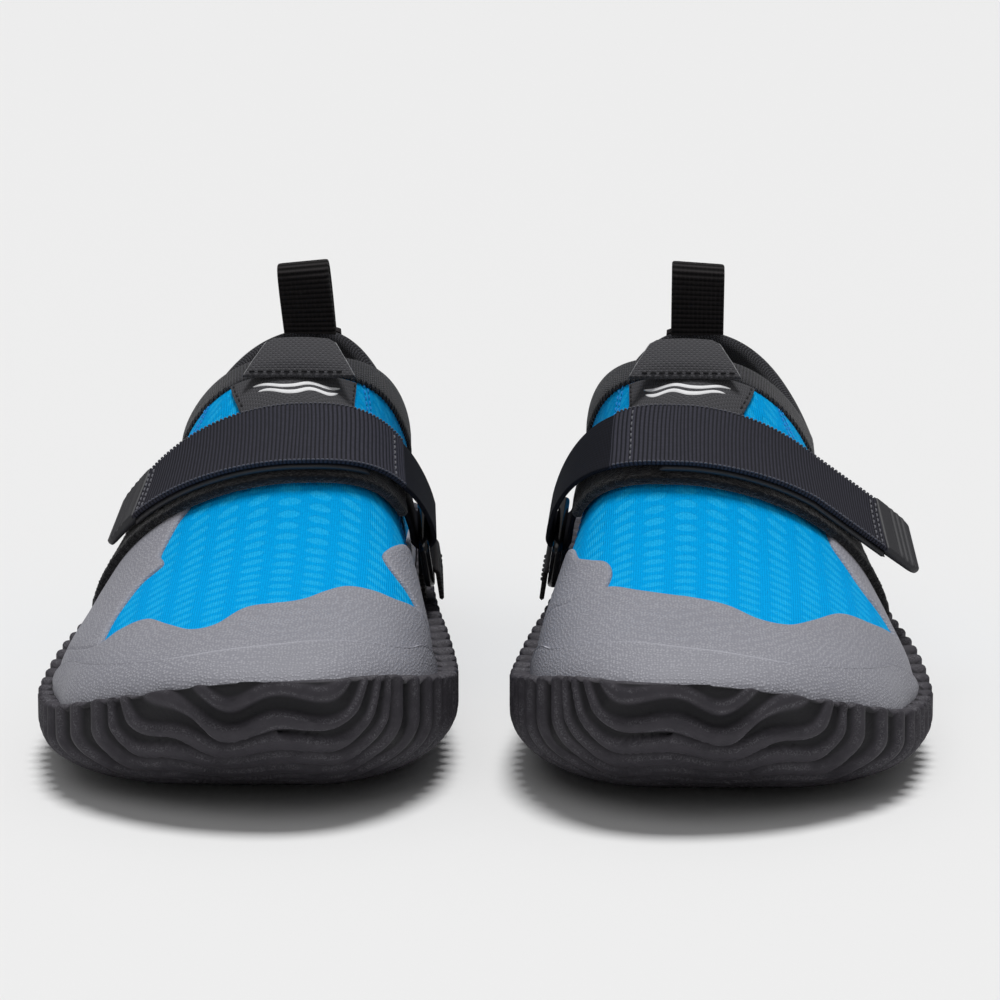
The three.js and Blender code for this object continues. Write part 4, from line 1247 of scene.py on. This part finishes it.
def elastic(side):
    """Smooth elastic webbing: from under the pile strap, round the ring's bar and back up to the flap."""
    inside_points, inside_normals = strap_rows(np.linspace(58, 70, 10) * RAD, STRAP_WIDTH)
    inside_points = inside_points + inside_normals * (UNDER_PILE + ELASTIC / 2)
    turns = np.linspace(0, math.pi, 17)
    fold = bar_rows(-np.cos(turns) * FOLD_RADIUS, np.sin(turns) * FOLD_RADIUS, STRAP_WIDTH)
    fold_away = RING_OUT * -np.cos(turns)[:, None] + RING_DOWN * np.sin(turns)[:, None]
    fold_normals = np.repeat(fold_away[:, None], fold.shape[1], axis=1)
    hinge = HINGE_ANGLE[side]
    back = np.linspace(70 * RAD, hinge - 0.5 * RAD, 50)
    low, high = UNDER_STRAP + WEBBING / 2 - 0.2, BAR_HEIGHT + FOLD_RADIUS
    height = low + (high - low) * (back - hinge) / (BAR_ANGLE - hinge)
    back_points, back_normals = strap_rows(back, STRAP_WIDTH)
    back_points = back_points + back_normals * height[:, None, None]
    points = np.concatenate([inside_points, fold, back_points])
    normals = np.concatenate([-inside_normals, fold_normals, back_normals])
    outer, inner, lie = strap_sheet(points, normals, -ELASTIC / 2, ELASTIC / 2, STRAP_WIDTH, 0.4)
    obj = add_shell(side, "elastic_band", outer, inner, [SMOOTH], None, ["elastic_webbing"],
                    lie)
    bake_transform(obj)


def rounded_rectangle(length, height, corner, steps=8):
    """Points and outward directions round a rectangle with rounded corners."""
    points, away = [], []
    centres = [(1, -1), (1, 1), (-1, 1), (-1, -1)]
    for k, (cx, cy) in enumerate(centres):
        for turn in np.linspace(-math.pi / 2 + k * math.pi / 2, k * math.pi / 2, steps):
            direction = np.array([math.cos(turn), math.sin(turn)])
            centre = np.array([cx * (length / 2 - corner), cy * (height / 2 - corner)])
            points.append(centre + direction * corner)
            away.append(direction)
    return np.array(points), np.array(away)


def ring(side):
    """A glossy moulded loop: an oval bar swept round a rounded rectangle."""
    path, away = rounded_rectangle(RING_LENGTH - RING_BAR, RING_DROP, 2.6)
    turns = np.linspace(0, 2 * math.pi, 17)[:-1]
    across, depth = (np.sign(wave) * np.abs(wave) ** 0.8 * RING_BAR / 2
                     for wave in (np.cos(turns), np.sin(turns)))
    flat = path[:, None] + away[:, None] * across[None, :, None]
    points = RING_TOP + RING_DOWN * (RING_DROP / 2) + RING_OUT * depth[None, :, None]
    points = points + RING_WIDTH * flat[..., :1] - RING_DOWN * flat[..., 1:]
    quads = grid_quads(len(path) + 1, len(turns), True) % (len(path) * len(turns))
    add_mesh(side, "ring_loop", points.reshape(-1, 3), quads, [GLOSS], "ring_link", ["ring"])


def ring_anchor(side):
    """The short webbing round the ring's lower bar that holds it down to the sole's edge."""
    radius = RING_BAR / 2 + 0.3 + ELASTIC / 2
    tails = np.linspace(7.5, 0.8, 12)
    turns = np.linspace(0, math.pi, 15)
    swing_out = np.concatenate([-1 + 0 * tails, -np.cos(turns), 1 + 0 * tails])
    swing_up = np.concatenate([0 * tails, np.sin(turns), 0 * tails])
    drop = np.concatenate([tails, 0 * turns, tails[::-1]])
    points = bar_rows(swing_out * radius, RING_DROP + drop - swing_up * radius, ANCHOR_WIDTH)
    away = RING_OUT * swing_out[:, None] - RING_DOWN * swing_up[:, None]
    normals = np.repeat(away[:, None], points.shape[1], axis=1)
    outer, inner, lie = strap_sheet(points, normals, -ELASTIC / 2, ELASTIC / 2, ANCHOR_WIDTH, 0.35)
    add_shell(side, "anchor_band", outer, inner, [COARSE], "boot", ["ring_anchor"], lie)
    rows = stitch_lines(outer, lie, ANCHOR_WIDTH, across_at=(lie[-1, 0, 1] - 5.5,))
    add_stitches(side, "anchor_thread", rows, BLACK_THREAD, "boot", 2.0, 0.8)


# ------------------------------------------------------------------ tabs and loops
HEEL_BACK = last_point(RIM, math.pi)
LOOP_WIDTH, LOOP_TOP = 15.5, 105.0
LOOP_TURN = {"right": (0.30, -2.2), "left": (0.06, -0.2)}      # turn, and lean to the outer side
TAPE_ANGLES, TAPE_RADIUS = (168 * RAD, 192 * RAD), 33.0


def heel_loop(side):
    """Coarse webbing in an upright loop, turned a little about its height."""
    base, reach = HEEL_BACK[2] - 1.6, 3.4
    top = LOOP_TOP - 0.8 - reach
    turns = np.linspace(0, math.pi, 25)
    arc = np.stack([-np.cos(turns) * reach, top + np.sin(turns) * reach], axis=1)
    leg = np.array([0, 0.25, 0.5, 0.75, 1.0, 1.25])
    front, back = (np.stack([sign * (1.4 + 2 * smooth(leg / 1.25)), base + (top - base) * leg / 1.35], axis=1)
                   for sign in (-1, 1))
    line = np.concatenate([front, arc, back[::-1]]) + [HEEL_BACK[1], 0]
    along = np.gradient(line, axis=0)
    away = unit(np.stack([0 * along[:, 0], -along[:, 1], along[:, 0]], axis=1))
    places = across_places(LOOP_WIDTH)[None, :]
    height = (line[:, 1:] - base) / (LOOP_TOP - base)
    turn, lean = LOOP_TURN[side]
    x = places * np.cos(turn * height) + lean * height
    y = line[:, :1] + places * np.sin(turn * height)
    z = line[:, 1:] + 0.5 * (places / 8) * height
    points = np.stack([x, y, z], axis=-1)
    normals = np.repeat(away[:, None], points.shape[1], axis=1)
    outer, inner, lie = strap_sheet(points, normals, -0.75, 0.75, LOOP_WIDTH, 0.3, 0.1, LOOP_PICK)
    add_shell(side, "pull_loop_webbing", outer, inner, [COARSE], "pull_loop", ["heel_loop"],
              lie)


def heel_tape(side):
    """The tape down the back seam, under the pull loop."""
    a = np.linspace(*TAPE_ANGLES, 25)[None, :]
    s = np.concatenate([[167, 167.15, 167.4], np.linspace(167.8, RIM - 0.6, 60), [RIM - 0.2]])[:, None]
    edge = np.minimum(a - TAPE_ANGLES[0], TAPE_ANGLES[1] - a) * TAPE_RADIUS
    height = 1.05 + 1.2 * swell(edge, 0.7) * np.clip((s - 166.7) / 0.8, 0.1, 1)
    lie = lie_of(s, a)
    lie[..., 0] = (a - math.pi) * TAPE_RADIUS
    add_layer(side, "back_tape", s, a, height, 0.6, [COARSE], ["heel_tape"], lie)
    stitch_box(side)


def stitch_box(side):
    """A boxed cross of stitches that holds the pull loop's tape."""
    corners = [(170.5, 171), (189.5, 171), (189.5, 186), (170.5, 186), (170.5, 171), (189.5, 186), (189.5, 171),
               (170.5, 186)]
    rows = []
    for first, last in zip(corners, corners[1:]):
        angles, stations = np.linspace(first, last, 40).T
        angles = angles * RAD
        rows.append((raised(stations, angles, 2.3), last_normal(stations, angles)))
    add_stitches(side, "tape_thread", rows, BLACK_THREAD, stitch=1.8, radius=0.25)


PATCH_FIRST, PATCH_LAST = 139.5, 169.0
TONGUE_SHIFT = 2.4             # the tongue's cloth sits a little towards the inner side
PATCH_TURN = TONGUE_SHIFT / 34


def patch_half(s):
    """Half the patch's width, as an angle."""
    return (24.5 + (s - 150) * 0.22) * RAD


def crowded(count, power):
    """Places from -1 to 1, closer together at both ends."""
    share = np.linspace(-1, 1, count)[None, :]
    return np.sign(share) * (1 - (1 - np.abs(share)) ** power)


def tongue_patch(side):
    """Cloth patch with rounded lower corners under the pull tab, its white wave mark and its stitches."""
    first_rows = PATCH_FIRST + np.array([0, 0.1, 0.3, 0.6])
    s = np.concatenate([first_rows, np.linspace(PATCH_FIRST + 1, PATCH_LAST, 60)])[:, None]
    half = patch_half(s) - 4 * (1 - swell(s - PATCH_FIRST, 3)) * RAD
    a = PATCH_TURN + half * crowded(91, 1.15)
    near = np.minimum((half - np.abs(a - PATCH_TURN)) * 42, (s - PATCH_FIRST) * 0.8)
    add_layer(side, "tongue_cloth", s, a, 0.15 + 1.25 * swell(near, 0.7), -0.4, [BASKET],
              ["tongue_patch"])
    s = np.linspace(PATCH_LAST - 1, PATCH_FIRST + 3, 30)
    edges = [PATCH_TURN + sign * (patch_half(s) - 0.035) for sign in (-1, 1)]
    rows = [(raised(s, a, 1.45), last_normal(s, a)) for a in edges]
    add_stitches(side, "patch_thread", rows, BLACK_THREAD, radius=0.22)
    wave_mark(side)


def wave_mark(side):
    """Two printed wave strokes, a plain decoration."""
    share = np.linspace(-1, 1, 60)[:, None]
    wide = np.linspace(-1, 1, 7)[None, :]
    for number, (station, reach) in enumerate(((157.2, 17), (151.4, 15)), 1):
        half = 1.6 * np.sqrt(np.maximum(1 - share**4, 0.01))
        s = station + 1.5 * np.sin(share * math.pi * 2 + 0.5) + half * wide
        a = PATCH_TURN + share * reach * RAD
        top = 1.46 + 0.12 * (1 - wide**4)
        add_layer(side, f"wave_mark_{number}", s, a, top, 1.2, [WHITE_PRINT])


TAB_HINGE = raised(164.0, 0.0, 1.2) + np.array([TONGUE_SHIFT, 0.0, 0.0])
TAB_SLOPE = 52 * RAD
TAB_UP = np.array([0.0, math.cos(TAB_SLOPE), math.sin(TAB_SLOPE)])
TAB_OUT = np.array([0.0, -math.sin(TAB_SLOPE), math.cos(TAB_SLOPE)])
TONGUE_TAB_LENGTH = 13.0
TAB_MIDDLE, TAB_HALF_THICK, TAB_CROWN = 0.7, 0.72, 0.9


def tab_half(v):
    """Half the pull tab's width at a distance from its hinge."""
    return 15.3 - 6.6 * v / TONGUE_TAB_LENGTH - 1.0 * smooth((v - TONGUE_TAB_LENGTH + 1.6) / 1.6)


def tab_points(x, v, rise):
    """Points of the pull tab: across it, up from its hinge, and out from its slope."""
    x, v, rise = (part[..., None] for part in np.broadcast_arrays(x, v, rise))
    return TAB_HINGE + np.array([1.0, 0.0, 0.0]) * x + TAB_UP * v + TAB_OUT * (TAB_MIDDLE + rise)


def tongue_tab(side):
    """The stiff cloth pull tab on the tongue: folded cloth with pale cut edges and a line of stitches."""
    v = np.concatenate([[0, 0.15, 0.4], np.linspace(0.8, TONGUE_TAB_LENGTH - 0.6, 50),
                        TONGUE_TAB_LENGTH - np.array([0.35, 0.15, 0.05, 0])])[:, None]
    share = crowded(81, 1.25)
    x = tab_half(v) * share
    near = np.minimum(tab_half(v) - np.abs(x), np.minimum(v, TONGUE_TAB_LENGTH - v))
    thick = TAB_HALF_THICK * swell(near, 0.5, 0.1)
    crown = TAB_CROWN * (1 - share**2) * smooth(v / 5) - 0.012 * v**2
    lie = np.stack(np.broadcast_arrays(x, v, near), axis=-1)
    outer, inner = tab_points(x, v, crown + thick), tab_points(x, v, crown - thick)
    add_shell(side, "tongue_pull_cloth", outer, inner, [BASKET], "tongue_pull", ["tongue_tab"],
              lie)
    places, line = np.linspace(-13.6, 13.6, 60), 1.3
    rise = TAB_CROWN * (1 - (places / 13.8) ** 2) * smooth(line / 5) + 0.82
    rows = [(tab_points(places, line, rise), np.repeat(TAB_OUT[None], len(places), axis=0))]
    add_stitches(side, "tab_thread", rows, BLACK_THREAD, "tongue_pull")
    cut_edges(side)


def cut_edges(side):
    """The pale frayed edge of the cloth along the tab's two sides."""
    v = np.linspace(0.6, TONGUE_TAB_LENGTH - 1.2, 60)[:, None]
    turns = np.linspace(0, 2 * math.pi, 9)[None, :-1]
    fray = 0.3 + 0.1 * np.sin(v * 9) * np.sin(v * 23 + 1)
    for sign, name in ((-1, "outer"), (1, "inner")):
        x = sign * (tab_half(v) + 0.02 + fray * 0.6 * np.cos(turns))
        points = tab_points(x, v, fray * 1.3 * np.sin(turns) - 0.012 * v**2)
        count, columns = points.shape[:2]
        caps = np.array([[0, 1, 2, 3], [0, 3, 4, 7], [4, 5, 6, 7]])
        quads = np.concatenate([grid_quads(count, columns, True), caps[:, ::-1], caps + (count - 1) * columns])
        add_mesh(side, f"tab_cut_edge_{name}", points.reshape(-1, 3), quads, [CUT_EDGE],
                 "tongue_pull")


# ------------------------------------------------------------------ the pair
def boot(side, sole):
    """All the pieces of one boot."""
    add_outsole(side, *sole)
    for piece in (inside, upper, collar, bonded_rubber, pile_strap, elastic, ring, ring_anchor, flap,
                  tongue_patch, tongue_tab, heel_tape, heel_loop):
        piece(side)


SOLE_MESH = outsole()
for each_side in SIDES:
    boot(each_side, SOLE_MESH)


# ------------------------------------------------------------------ floor, light and camera
def flat_material(name, value):
    material = bpy.data.materials.new(name)
    material.use_nodes = True
    shader = material.node_tree.nodes["Principled BSDF"]
    shader.inputs["Base Color"].default_value = (value, value, value, 1)
    shader.inputs["Roughness"].default_value = 0.9
    shader.inputs["Specular IOR Level"].default_value = 0.1
    return material


def floor():
    """A pale floor that carries on to the horizon."""
    corners = [(x, y, CAD_BOX[0].z) for y in (-3, 12) for x in (-8, 8)]
    mesh = new_mesh("floor", corners, [(0, 1, 3, 2)])
    mesh.materials.append(flat_material("pale_floor", 0.8))
    add_object("floor", mesh)


def sun(name, power, spread, tilt_x, tilt_y):
    """A lamp with soft shadows; it shines straight down when its tilts are 0."""
    data = bpy.data.lights.new(name, "SUN")
    data.energy, data.angle = power, spread * RAD
    add_object(name, data).rotation_euler = (tilt_x * RAD, tilt_y * RAD, 0)


def lights():
    """Broad even light from above, with a little from the front, over a bright floor."""
    world = bpy.data.worlds.new("studio")
    world.use_nodes = True
    background = world.node_tree.nodes["Background"]
    background.inputs["Color"].default_value = (1, 1, 1, 1)
    background.inputs["Strength"].default_value = 0.2
    bpy.context.scene.world = world
    sun("overhead", 2.5, 20, -3, 3)
    sun("front_top", 0.35, 40, 36, -12)


def camera():
    """A long lens in front of the toes, a little above them."""
    data = bpy.data.cameras.new("camera")
    data.sensor_width, data.lens, data.clip_end = 36, 168, 50
    obj = add_object("camera", data)
    obj.location = (0.036, -1.243, 0.285)
    obj.rotation_euler = (79.6 * RAD, 0, 1.55 * RAD)
    bpy.context.scene.camera = obj


floor()
lights()
camera()
bpy.context.scene.view_settings.view_transform = "Standard"
